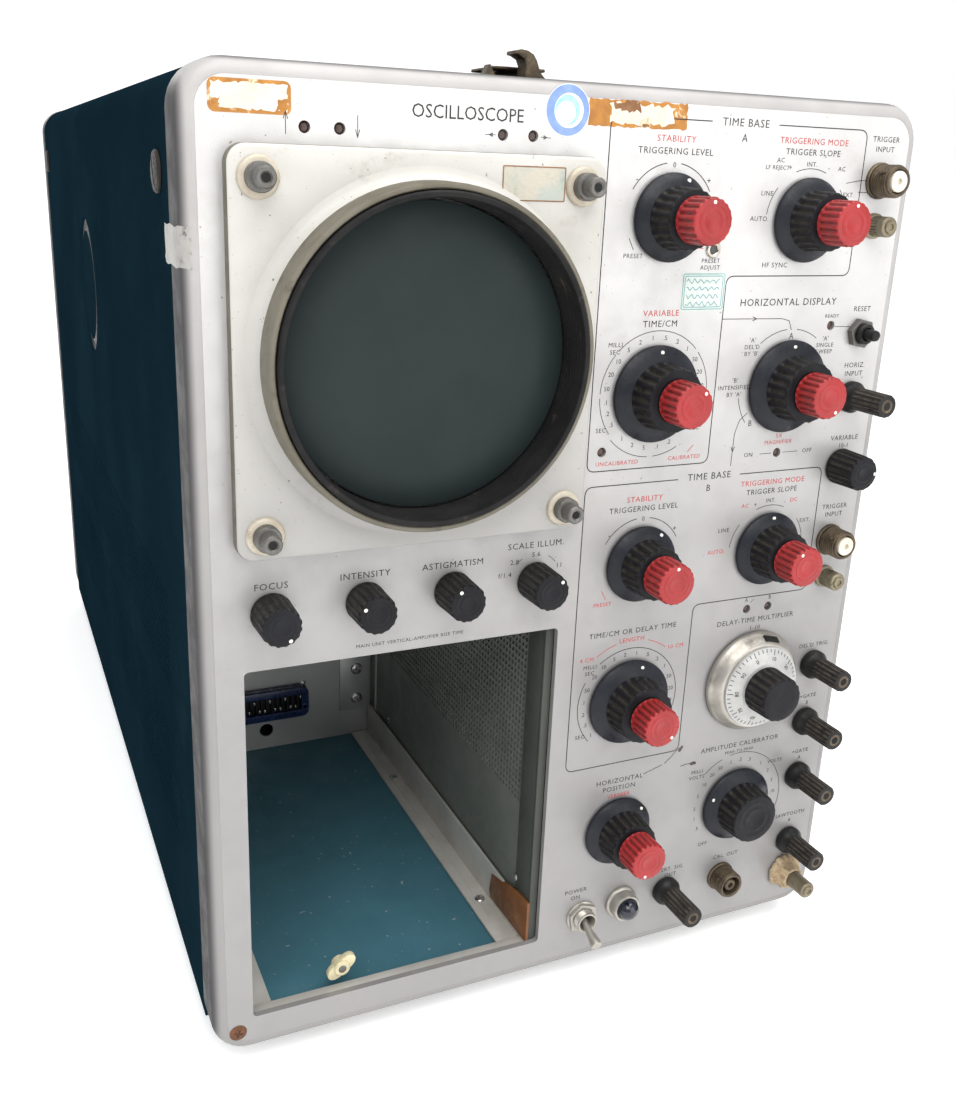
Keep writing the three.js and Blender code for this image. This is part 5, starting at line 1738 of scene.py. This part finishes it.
materials.update({
    "tapeGum": finish("tapeGum", (0.47, 0.215, 0.042), 0.5, 0, (0.32, 0.135, 0.030), (130, 0.3, 0.7),
                      soil=(0.72, 0.62, 0.44),
                      soilRange=(110, 0.56, 0.66), bump=(900, 0.2)),
    "gumPale": finish("gumPale", (0.68, 0.65, 0.58), 0.5, 0, (0.62, 0.55, 0.44), (120, 0.3, 0.7),
                      soil=(0.50, 0.27, 0.07),
                      soilRange=(110, 0.60, 0.70), bump=(900, 0.2)),
    "gumDark": finish("gumDark", (0.17, 0.075, 0.03), 0.6, 0, (0.25, 0.13, 0.06), (150, 0.3, 0.7),
                      bump=(900, 0.2)),
    "stickerWhite": finish("stickerWhite", (0.80, 0.82, 0.84), 0.4, 0, (0.72, 0.76, 0.80), (90, 0.3, 0.7),
                           bump=(900, 0.03)),
    "stickerBlue": finish("stickerBlue", (0.17, 0.26, 0.55), 0.4, 0, (0.23, 0.34, 0.62), (160, 0.3, 0.7),
                          soil=(0.35, 0.50, 0.75), soilRange=(200, 0.58, 0.8), bump=(900, 0.03)),
    "stickerCyan": finish("stickerCyan", (0.20, 0.48, 0.68), 0.4, 0, (0.42, 0.68, 0.82), (160, 0.3, 0.7),
                          bump=(900, 0.03)),
    "noteTeal": finish("noteTeal", (0.05, 0.24, 0.27), 0.5, 0, (0.12, 0.34, 0.36), (300, 0.4, 0.7),
                       bump=(900, 0.03)),
    "notePaper": finish("notePaper", (0.58, 0.63, 0.60), 0.55, 0, (0.52, 0.56, 0.52), (90, 0.3, 0.7),
                        bump=(900, 0.06)),
    "wornLabel": finish("wornLabel", (0.38, 0.41, 0.37), 0.55, 0, (0.47, 0.44, 0.37), (75, 0.4, 0.6),
                        soil=(0.17, 0.24, 0.20),
                        soilRange=(70, 0.52, 0.68), bump=(600, 0.3)),
    "maskingTape": finish("maskingTape", (0.44, 0.43, 0.41), 0.6, 0, (0.33, 0.32, 0.30), (60, 0.3, 0.7),
                          soil=(0.12, 0.12, 0.12),
                          soilRange=(90, 0.56, 0.66), bump=(700, 0.4)),
    "fibre": finish("fibre", (0.50, 0.38, 0.24), 0.85, 0, (0.34, 0.24, 0.14), (420, 0.35, 0.65),
                    soil=(0.66, 0.58, 0.44),
                    soilRange=(300, 0.5, 0.7), bump=(1800, 0.8)),
    "scuff": finish("scuff", (0.030, 0.028, 0.028), 0.6, 0, (0.10, 0.095, 0.09), (700, 0.4, 0.7),
                    bump=(900, 0.05)),
})


def thinSheet(name, outlines, finishKey, out=0.03, thickness=0.06):
    return moved(flatSheet(name, outlines, thickness, (finishKey,)), onPanel(out + thickness / 2))


def makeStickers():
    x, z = -15.6, 403.8
    disc = thinSheet("stickerDisc", [circleOutline(x, z, 9.6, 64)], "stickerWhite", 0.03)
    outer = thinSheet("stickerOuter", [circleOutline(x, z, 9.4, 64),
                                       circleOutline(x + 0.5, z - 0.1, 6.4, 48)], "stickerBlue", 0.06)
    inner = thinSheet("stickerInner", [circleOutline(x - 0.1, z + 0.1, 5.5, 48),
                                       circleOutline(x - 0.8, z - 0.9, 4.25, 40)],
                      "stickerCyan", 0.06)
    place(joinPieces("ringSticker", [disc, outer, inner]), "root", "anodised_panel")
    gum = [thinSheet("gum", [blotchOutline(-6.2, 398.8, 39.4, 408.8, 0.35, 70, 3)], "tapeGum", 0.01),
           thinSheet("gumClear", [blotchOutline(3.5, 400.3, 33.0, 407.6, 0.9, 44, 9)], "gumPale", 0.03),
           thinSheet("gumBite", [blotchOutline(5.5, 404.8, 17.0, 408.2, 0.9, 26, 5)], "gumDark", 0.05),
           thinSheet("gumSpot", [blotchOutline(18.5, 399.2, 21.6, 400.4, 0.3, 14, 6)], "gumDark", 0.05)]
    left = roundedOutline(-154.4, 396.5, -125.2, 407.6, 2.4, 4)
    hollow = blotchOutline(-153.2, 397.8, -126.5, 406.3, 0.45, 60, 12)
    gum.append(thinSheet("gumLeft", [left, hollow], "tapeGum", 0.01))
    gum.append(thinSheet("gumLeftPale", [blotchOutline(-153.4, 397.4, -126.2, 406.7, 0.3, 60, 13)],
                         "gumPale", 0.0))
    gum.append(thinSheet("gumPatch", [blotchOutline(-130.2, 397.6, -126.4, 401.6, 0.7, 22, 14)], "tapeGum",
                         0.03))
    gum.append(thinSheet("gumFlake", [blotchOutline(-153.6, 397.6, -150.4, 401.0, 0.6, 18, 15)], "tapeGum",
                         0.03))
    place(joinPieces("tapeResidue", gum), "root", "anodised_panel")
    note = [thinSheet("notePaper", [blotchOutline(44.2, 326, 66.8, 342.3, 0.2, 40, 4)], "notePaper", 0.02)]
    for inset in (0.5, 1.4):
        outline = roundedOutline(44.4 + inset, 326.2 + inset, 66.6 - inset, 342.1 - inset, 0.8, 3)
        note.append(moved(ribbon("noteBorder", outline + outline[:1], 0.3, "noteTeal", 0.03),
                          onPanel(0.07)))
    rng = random.Random(8)
    for row in range(4):
        wave = [(46.8 + i * 0.62, 338.6 - row * 3.2 + math.sin(i * 1.25 + row) * 0.75
                 + rng.uniform(-0.35, 0.35)) for i in range(28)]
        note.append(moved(ribbon("noteScribble", wave, 0.3, "noteTeal", 0.03), onPanel(0.07)))
    place(joinPieces("paperNote", note), "root", "anodised_panel")
    label = flatSheet("label", [blotchOutline(-46, 370, -19.3, 382.6, 0.25, 44, 7)], 0.14, ("wornLabel",))
    edge = roundedOutline(-45.9, 370.1, -19.4, 382.5, 0.4, 2)
    rim = ribbon("labelRim", edge + edge[:1], 0.45, "gumDark", 0.05)
    moved(rim, shift(0, 0, 0.005))
    place(moved(joinPieces("wornLabel", [label, rim]), onPanel(bezelSpec["thickness"] + 0.4)), "root",
          "cream_paint")
    marks = []
    rng = random.Random(21)
    for x, z, turn, length in ((53.5, 102.6, 18, 11), (64, 108, 42, 11), (73, 101.4, 2, 6),
                               (77.4, 101.2, -4, 3.4), (69, 111, 60, 3)):
        path = [(x + math.cos(math.radians(turn)) * length * (t / 8 - 0.5) + rng.uniform(-0.15, 0.15),
                 z + math.sin(math.radians(turn)) * length * (t / 8 - 0.5)
                 + rng.uniform(-0.25, 0.25)) for t in range(9)]
        marks.append(moved(ribbon("scuffMark", path, 1.5 if length < 4 else 0.45, "scuff", 0.02),
                           onPanel(0.01)))
    place(joinPieces("scuffMarks", marks), "root", "anodised_panel")


def tapeStrip(name, section, tornFront, tornBack, seed):
    # section lists (inset from the side, depth behind the panel), front to back
    rng = random.Random(seed)
    rows = 9
    verts, faces = [], []
    for lifted in (0.05, -0.05):
        for r in range(rows):
            z = 343.6 + 14.4 * r / (rows - 1)
            for i, (inset, back) in enumerate(section):
                ahead, behind = section[min(i + 1, len(section) - 1)], section[max(i - 1, 0)]
                along = Vector((ahead[0] - behind[0], ahead[1] - behind[1])).normalized()
                inset2, back2 = inset - abs(along.y) * lifted, back - abs(along.x) * lifted
                if tornFront and i == 0:
                    inset2 += (r * 37 % 5) * 0.12
                if tornBack and i == len(section) - 1:
                    back2 += rng.uniform(-2.5, 2.5) if lifted > 0 else 0
                sag = 0.5 * math.sin(back * 0.35) if r in (0, rows - 1) else 0
                verts.append(at(-halfWidth / mm + inset2, -back2, z + sag))
    n = len(section)
    half = n * rows
    for r in range(rows - 1):
        for i in range(n - 1):
            a = r * n + i
            faces.append((a, a + 1, a + n + 1, a + n))
            faces.append((half + a, half + a + n, half + a + n + 1, half + a + 1))
    for i in range(n - 1):
        faces.append((i + 1, i, half + i, half + i + 1))
        last = (rows - 1) * n + i
        faces.append((last, last + 1, half + last + 1, half + last))
    for r in range(rows - 1):
        faces.append((r * n, (r + 1) * n, half + (r + 1) * n, half + r * n))
        end = r * n + n - 1
        faces.append((end + n, end, half + end, half + end + n))
    tape = meshFrom(name, verts, faces, ("maskingTape",), 40)
    facesOut(tape.data)
    return tape


def makeEdgeTape():
    # a strip of tape folded round the frame's left edge, torn along the seam so that the cover can open
    section = []
    for i in range(6):
        angle = math.radians(66) * (1 - i / 5)
        section.append((6 * (1 - math.cos(angle)), 6 * (1 - math.sin(angle))))
    section += [(0, 12), (0, 22.4)]
    place(tapeStrip("edgeTape", section, True, False, 17), "root", "cast_aluminium")
    place(tapeStrip("coverTape", [(0.4, 23.6), (0.4, 28), (0.4, 32), (0.4, 36)], False, True, 18),
          "left_cover",
          "blue_wrinkle_paint")


def makePanelFittings():
    rusty = crossScrew("cornerScrew", 3.1, 0.9, "rust")
    rim = turned("cornerWasher", [(0, -0.5), (3.9, -0.5), (3.9, 0.12), (3.5, 0.25), (0, 0.25)], ("rust",),
                 24)
    place(moved(joinPieces("cornerScrew", [rusty, rim]), faceOut(-154.3, 11.8, 0.02, 20)), "root",
          "nickel_plate")
    bush = turned("presetBushing", [(1.9, -3), (3.6, -3), (3.6, 0.6), (3.2, 1.1), (2.3, 1.1), (1.9, 0.7)],
                  ("nickel",), 28, True)
    slotted = turned("presetShaft", [(0, -3), (1.8, -3), (1.8, 0.2), (1.6, 0.4), (0, 0.4)], ("darkSteel",),
                     20)
    place(moved(joinPieces("presetAdjuster", [bush, slotted]), faceOut(58.4, 351.8, 0, 35)), "root",
          "nickel_plate")
    wad = turned("fibreCollar", [(4.6, 0.2), (8.6, 0.2), (9.4, 1.2), (8.8, 2.8), (7.2, 4.4), (6.6, 7.0),
                                 (5.8, 9.2), (4.7, 9.6)],
                 ("fibre",), 64, True)
    rng = random.Random(4)
    waves = [(rng.uniform(0.5, 1.3), rng.randint(3, 15), rng.uniform(0, 6)) for _ in range(7)]
    for vertex in wad.data.vertices:
        angle = math.atan2(vertex.co.y, vertex.co.x)
        swell = sum(a * math.sin(k * angle + p + vertex.co.z * 700) for a, k, p in waves) * 0.05
        reach = vertex.co.xy.length
        if reach > 0.005:
            vertex.co.x *= 1 + swell
            vertex.co.y *= 1 + swell
            vertex.co.z += swell * 0.003 if vertex.co.z > 0.001 else 0
    place(moved(wad, faceOut(144.6, 23, 0, 0)), "root", "nickel_plate")


makeStickers()
makeEdgeTape()
makePanelFittings()
print("marks and fittings made")


strapSpec = {"half": 22, "front": 70, "rear": 420, "under": 418.5, "rise": 5.0, "thick": 3.5}


def strapHeight(t):
    # t runs from -1 at the front end to 1 at the rear end
    return strapSpec["under"] + strapSpec["rise"] * (1 - t * t)


def makeHandle():
    s = strapSpec
    steps = 40
    section = [(-s["half"], 0.9), (-s["half"] + 0.9, 0), (s["half"] - 0.9, 0), (s["half"], 0.9),
               (s["half"], s["thick"] - 1.2),
               (s["half"] - 2.2, s["thick"] - 0.1), (0, s["thick"]), (-s["half"] + 2.2, s["thick"] - 0.1),
               (-s["half"], s["thick"] - 1.2)]
    verts, faces = [], []
    for i in range(steps + 1):
        t = -1 + 2 * i / steps
        y = s["front"] + 14 + (s["rear"] - s["front"] - 28) * (t + 1) / 2
        narrow = 1.0 - 0.35 * max(0.0, abs(t) - 0.86) / 0.14
        for x, h in section:
            verts.append(at(x * narrow, -y, strapHeight(t) + h))
    n = len(section)
    for i in range(steps):
        for j in range(n):
            k = (j + 1) % n
            faces.append((i * n + j, i * n + k, (i + 1) * n + k, (i + 1) * n + j))
    faces += [tuple(range(n - 1, -1, -1)), tuple(steps * n + j for j in range(n))]
    strap = meshFrom("strapBody", verts, faces, ("strapHide",), 40)
    facesOut(strap.data)
    stitches = []
    for side in (-1, 1):
        for i in range(78):
            t = -0.86 + 1.72 * i / 77
            y = s["front"] + 14 + (s["rear"] - s["front"] - 28) * (t + 1) / 2
            stitches.append((side * (s["half"] - 4), -y, strapHeight(t) + s["thick"] - 0.12))
    thread = slab("stitch", (0.8, 2.6, 0.5), "fibre")
    parts = [strap, repeated("stitches", thread, [(x, -y, z) for x, y, z in stitches],
                             Matrix.Translation((0, panelY, lift)), "fibre")]
    for y0, y1 in ((s["front"] + 4, s["front"] + 32), (s["rear"] - 32, s["rear"] - 4)):
        plate = roundedOutline(-13, y0, 13, y1, 3, 5)
        cover = flatSheet("strapPlate", [plate], 1.2, ("agedMetal",), 0.3)
        parts.append(moved(cover, Matrix.Translation((0, panelY, lift + 424.6 * mm))))
        base = flatSheet("strapFoot", [roundedOutline(-17, y0 - 3, 17, y1 + 3, 3, 5)], 3.4, ("agedMetal",),
                         0.4)
        parts.append(moved(base, Matrix.Translation((0, panelY, lift + 418.2 * mm))))
        for x in (-7, 7):
            head = crossScrew("strapScrew", 2.8, 1.3, "brightMetal")
            parts.append(moved(head, Matrix.Translation(at(x, -(y0 + y1) / 2, 424.6))
                               @ Matrix.Rotation(x * 0.3, 4, "Z")))
    hook = [(7, 419.4), (-3.2, 419.4), (-3.6, 421.6), (-3.2, 424.6), (-4.4, 427.2), (-7.2, 428.6),
            (-9, 428.9), (-8.8, 430.3), (-5.6, 431),
            (-2.4, 430.6), (0.4, 429.2), (2.0, 427), (3.2, 424), (4.6, 421.6)]
    plate = flatSheet("strapHook", [hook], 9, ("agedMetal",), 0.6)
    parts.append(moved(plate, onPanel(-62.6)))
    ear = flatSheet("strapEar", [[(-22, 414.6), (-12.6, 414.6), (-12.2, 419.2), (-14.4, 421.0),
                                  (-16.6, 424.8), (-18.2, 421.4), (-21.6, 419)]],
                    7, ("agedMetal",), 0.5)
    parts.append(moved(ear, onPanel(-70.5)))
    place(joinPieces("carryStrap", parts), "root", "strap_leather", "handle_strap")


makeHandle()
print("handle made")

materials.update({
    "tubeGlass": finish("tubeGlass", (0.16, 0.17, 0.17), 0.10, 0, (0.12, 0.13, 0.13), (60, 0.3, 0.7),
                        bump=(300, 0.02),
                        coat=0.6, specular=0.5),
    "getter": finish("getter", (0.30, 0.29, 0.28), 0.25, 0.9, (0.18, 0.17, 0.16), (160, 0.3, 0.7),
                     bump=(300, 0.02)),
    "ceramic": finish("ceramic", (0.62, 0.60, 0.54), 0.45, 0, (0.55, 0.52, 0.46), (80, 0.3, 0.7),
                      bump=(900, 0.04)),
    "blackIron": finish("blackIron", (0.020, 0.020, 0.022), 0.55, 0.2, (0.032, 0.031, 0.030),
                        (50, 0.3, 0.7),
                        soil=(0.10, 0.085, 0.07), soilRange=(70, 0.6, 0.85), bump=(900, 0.2)),
    "filterPad": finish("filterPad", (0.10, 0.105, 0.10), 0.7, 0.3, (0.06, 0.062, 0.06), (200, 0.3, 0.7),
                        bump=(900, 0.6)),
    "shadedSheet": finish("shadedSheet", (0.075, 0.076, 0.074), 0.55, 0.3, (0.055, 0.055, 0.054),
                          (14, 0.3, 0.7), bump=(900, 0.1)),
})


def upright(x, y, z, spin=0.0):
    # stands a piece made along +Z on a deck: x, depth behind the panel and height in millimetres
    return Matrix.Translation(at(x, -y, z)) @ Matrix.Rotation(spin, 4, "Z")


def facingBack(x, z, y):
    # stands a piece made along +Z on the rear sheet, pointing away from the viewer
    return Matrix.Translation(at(x, -y, z)) @ turnBy(-90, "X")


rearSpec = {"sheet": 606, "thick": 2, "fanX": 70, "fanZ": 130, "fanRadius": 72,
            "screws": [(-150, 15), (150, 15), (-150, 400), (150, 400), (0, 15), (0, 400)]}


def makeRear():
    s = rearSpec
    margin = caseSpec["wall"] + 0.1
    edge = roundedOutline(-halfWidth / mm + margin, margin, halfWidth / mm - margin,
                          caseHeight / mm - margin,
                          panelHoles["corner"])
    slots = [[(x + dx, z + dz) for dx, dz in ((-16, -1.6), (16, -1.6), (16, 1.6), (-16, 1.6))]
             for x in (-110, -68) for z in range(250, 380, 9)]
    slots += [[(x + dx, z + dz) for dx, dz in ((-16, -1.6), (16, -1.6), (16, 1.6), (-16, 1.6))]
              for x in (30, 75, 120) for z in range(300, 380, 9)]
    sheet = flatSheet("rearSheet", [edge, circleOutline(s["fanX"], s["fanZ"], s["fanRadius"], 64), *slots],
                      s["thick"], ("bluePaint",))
    parts = [moved(sheet, onPanel(-s["sheet"]))]
    place(joinPieces("rearSheet", parts), "root", "plated_sheet")
    heads = [moved(crossScrew("rearScrew", 3.4, 1.5, "brightMetal"),
                   facingBack(x, z, s["sheet"] + s["thick"])) for x, z in s["screws"]]
    place(joinPieces("rearScrews", heads), "root", "nickel_plate")
    inlet = flatSheet("inletShell", [roundedOutline(-14, -11, 14, 11, 4, 6), circleOutline(0, 0, 8.4, 32)],
                      8, ("blackPlastic",), 0.6)
    parts = [moved(inlet, shift(0, 0, 8))]
    parts.append(turned("inletFloor", [(0, 0), (8.5, 0), (8.5, 1.5), (0, 1.5)], ("blackPlastic",), 32))
    for turn in (0, 120, 240):
        pin = turned("inletPin", [(0, 1), (1.3, 1), (1.3, 6.4), (0.9, 6.8), (0, 6.9)], ("brightMetal",), 14)
        angle = math.radians(turn)
        parts.append(moved(pin, shift(4.6 * math.sin(angle), 4.6 * math.cos(angle), 0)))
    for part in parts:
        moved(part, facingBack(-120, 60, s["sheet"] + s["thick"]))
    cap = flutedGrip("fuseCap", {"radius": 7.4, "length": 9, "flutes": 16, "fluteDepth": 0.5, "edge": 1,
                                 "sharp": 1, "steps": 6},
                     "blackPlastic")
    parts.append(moved(cap, facingBack(-80, 60, s["sheet"] + s["thick"])))
    place(joinPieces("powerInlet", parts), "root", "black_phenolic")
    x0, x1, y0, y1, z0, z1 = extentOf("air_filter")
    rim = flatSheet("filterRim", [roundedOutline(x0, z0, x1, z1, 4, 6),
                                  roundedOutline(x0 + 7, z0 + 7, x1 - 7, z1 - 7, 3, 6)],
                    y1 - y0, ("sheetMetal",), 0.8)
    parts = [moved(rim, onPanel(-y0))]
    pad = flatSheet("filterPad", [roundedOutline(x0 + 6.5, z0 + 6.5, x1 - 6.5, z1 - 6.5, 3, 6)], 4,
                    ("filterPad",), 0.3)
    parts.append(moved(pad, onPanel(-y0 - 2)))
    net = perforatedBand("filterNet", x0 + 6.8, x1 - 6.8, z0 + 6.8, z1 - 6.8, 4.4, 1.75, 0.8, "sheetMetal")
    parts.append(moved(net, onPanel(-y1 + 2.4)))
    place(joinPieces("airFilter", parts), "root", "filter_mesh", "air_filter")


makeRear()
print("rear made")


def fittedPot(x, z, radius, length, start):
    can = turned("potCan", [(0, -start), (radius - 0.6, -start), (radius, -start - 0.6),
                            (radius, -start - length + 0.8),
                            (radius - 0.8, -start - length), (0, -start - length)], ("sheetMetal",), 28)
    bush = turned("potBush", [(3.9, -3.1), (6.2, -3.1), (6.2, -start), (3.9, -start)], ("brightMetal",), 20,
                  True)
    return [moved(can, faceOut(x, z)), moved(bush, faceOut(x, z))]


def vacuumTube(radius, height):
    # glass envelope on a moulded base, with dark inner parts and a getter patch at the top
    glass = [(0, 6), (radius, 6), (radius, height * 0.76), (radius * 0.86, height * 0.88),
             (radius * 0.45, height * 0.95),
             (radius * 0.16, height * 0.97), (radius * 0.1, height), (0, height)]
    base = [(0, 0), (radius + 1, 0), (radius + 1, 6.2), (radius, 6.8), (0, 6.8)]
    plate = [(radius * 0.99, height * 0.74), (radius * 1.01, height * 0.76),
             (radius * 0.87, height * 0.885), (radius * 0.46, height * 0.955),
             (0, height * 0.965), (0, height * 0.95), (radius * 0.44, height * 0.94),
             (radius * 0.85, height * 0.87)]
    return joinPieces("vacuumTube", [turned("tubeBulb", glass, ("tubeGlass",), 20),
                                     turned("tubeFoot", base, ("blackPlastic",), 20),
                                     turned("tubeGetter", plate, ("getter",), 20, True)])


def tubeRow(name, spots, radius, height):
    first = vacuumTube(radius, height)
    copies = []
    for x, y, z in spots:
        copy = newObject(name, first.data.copy())
        copies.append(moved(copy, upright(x, y, z, x * 0.7 + y)))
    bpy.data.objects.remove(first)
    return copies


def makeSweepChassis():
    windows = [roundedOutline(60 + i * 88, 246, 128 + i * 88, 388, 6, 5) for i in range(5)]
    windows += [roundedOutline(60 + i * 88, 52, 128 + i * 88, 212, 6, 5) for i in range(5)]
    sheet = flatSheet("sweepSheet", [[(40, 30), (500, 30), (500, 400), (40, 400)], *windows], 1.5,
                      ("sheetMetal",))
    parts = [standLeft(sheet, 98)]
    wall = flatSheet("centreWall", [[(24, 12.4), (598, 12.4), (598, 409), (24, 409)],
                                    roundedOutline(60, 250, 220, 380, 8, 5)], 1.5,
                     ("shadedSheet",))
    parts.append(standLeft(wall, -3))
    parts.append(box("sweepDeck", (-1.5, -40, 228), (98, -500, 229.5), ("sheetMetal",)))
    strip = slab("terminalStrip", (1.6, 44, 9), "ceramic", 0.4)
    strips = [(100.8, -(94 + i * 88), 20 + z) for i in range(5) for z in (212, 21)]
    parts.append(repeated("terminalStrips", strip, [(x, -y, z) for x, y, z in strips],
                          Matrix.Translation((0, panelY, lift)), "ceramic"))
    place(joinPieces("sweepChassis", parts), "root", "plated_sheet", "sweep_chassis")
    spots = [(22 + (i % 3) * 28, 95 + i // 3 * 52, 229.6) for i in range(21)]
    place(joinPieces("sweepTubes", tubeRow("sweepTube", spots, 9.5, 52)), "root", "tube_glass")
    pots = []
    for x, z in shaftPlaces:
        big = x > 0 and x < 140
        pots += fittedPot(x, z, 14.5 if big else 10.5, 15 if big else 13, 19.6 if big else 13.4)
    place(joinPieces("controlPots", pots), "root", "plated_sheet")


def makePowerChassis():
    deck = flatSheet("powerDeck", [roundedOutline(-159, 250, -4, 598, 2, 3)], 1.5, ("sheetMetal",), 0.2)
    parts = [moved(deck, Matrix.Translation((0, panelY, lift + 59.5 * mm))),
             box("powerApron", (-159, -250, 24), (-157.5, -598, 59), ("sheetMetal",))]
    place(joinPieces("powerChassis", parts), "root", "plated_sheet", "power_chassis")
    x0, x1, y0, y1, z0, z1 = extentOf("power_transformer")
    core = [box("transformerCore", (x0 + 12, -y0 - 2, z0 + 0.3), (x1 - 12, -y1 + 2, z1 - 3), ("blackIron",),
                1.0)]
    for x in (x0, x1 - 13):
        core.append(box("transformerBell", (x, -y0 - 8, z0 + 8), (x + 13, -y1 + 8, z1 - 10), ("blackIron",),
                        5, 4))
    core.append(box("transformerStrap", (x0 + 24, -y0, z0), (x1 - 24, -y1, z0 + 3), ("sheetMetal",), 0.3))
    for x in (x0 + 18, x1 - 18):
        for y in (y0 + 8, y1 - 8):
            core.append(moved(hexNut("transformerNut", 8, 2.6, 1.5, "brightMetal"), upright(x, y, z1 - 3)))
    place(joinPieces("powerTransformer", core), "root", "transformer_black", "power_transformer")
    cans = []
    for i in range(8):
        x, y = -142 + (i % 4) * 38, 285 + i // 4 * 48
        can = turned("capacitorCan", [(0, 0), (16, 0), (16, 3), (15, 3.4), (15, 82), (14, 84.4), (11, 84.8),
                                      (0, 83.6)], ("satinSilver",), 32)
        cans.append(moved(can, upright(x, y, 59.6)))
    place(joinPieces("capacitorCans", cans), "root", "plated_sheet")
    spots = [(-142 + (i % 5) * 30, 392 + i // 5 * 42, 59.6) for i in range(10)]
    place(joinPieces("powerTubes", tubeRow("powerTube", spots, 12, 72)), "root", "tube_glass")


def makeFan():
    x, z = rearSpec["fanX"], rearSpec["fanZ"]
    body = turned("fanCan", [(0, -512.2), (21, -512.2), (24, -515), (24, -555), (21, -558), (3, -558),
                             (3, -574.8), (0, -574.8)],
                  ("blackIron",), 40)
    parts = [body]
    for turn in (45, 135, 225, 315):
        arm = slab("fanArm", (3, 46, 3), "darkSteel", 0.4)
        parts.append(moved(arm, turnBy(turn, "Z") @ shift(0, 46, -518)))
    # arms reach only to the motor's mounting ring, clear of the blades
    ring = turned("fanRing", [(66, -516), (70, -516), (70, -520), (66, -520)], ("darkSteel",), 64, True)
    parts.append(ring)
    place(moved(joinPieces("fanMotor", parts), faceOut(x, z)), "root", "dark_steel", "fan_motor")
    hub = turned("fanHub", [(0, -576), (11, -576), (12, -577), (12, -587), (11, -588), (0, -588)],
                 ("blackPlastic",), 32)
    vanes = [hub]
    for i in range(4):
        start = math.pi / 2 * i
        verts, faces = [], []
        rows, columns = 9, 11
        for lifted in (0.45, -0.45):
            for r in range(rows):
                radius = 10.5 + 55.2 * r / (rows - 1)
                span = 0.62 + 0.2 * math.sin(math.pi * r / (rows - 1))
                for c in range(columns):
                    u = c / (columns - 1)
                    angle = start + (u - 0.5) * 2 * span * (0.55 + 0.25 * (rows - 1 - r) / (rows - 1))
                    pitch = (0.5 - u) * 14.5 + 0.9 * math.sin(math.pi * u)
                    verts.append((radius * math.cos(angle) * mm, radius * math.sin(angle) * mm,
                                  (-582 + pitch + lifted) * mm))
        half = rows * columns
        for r in range(rows - 1):
            for c in range(columns - 1):
                a = r * columns + c
                faces.append((a, a + columns, a + columns + 1, a + 1))
                faces.append((half + a, half + a + 1, half + a + columns + 1, half + a + columns))
        rim = [c for c in range(columns)] + [r * columns + columns - 1 for r in range(1, rows)]
        rim += [(rows - 1) * columns + c for c in range(columns - 2, -1, -1)]
        rim += [r * columns for r in range(rows - 2, 0, -1)]
        for a, b in zip(rim, rim[1:] + rim[:1]):
            faces.append((a, b, half + b, half + a))
        vane = meshFrom("fanVane", verts, faces, ("sheetMetal",), 40)
        facesOut(vane.data)
        vanes.append(vane)
    place(moved(joinPieces("fanBlade", vanes), faceOut(x, z)), "fan_blade", "plated_sheet", "fan_blade")


def finishCrt():
    # the tube's glass keeps the frame's own shape; only its finish is given here
    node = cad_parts["crt_envelope"]
    node.data.materials.clear()
    node.data.materials.append(materials["tubeGlass"])


makeSweepChassis()
makePowerChassis()
makeFan()
finishCrt()
print("inside made")

print("pieces ready")
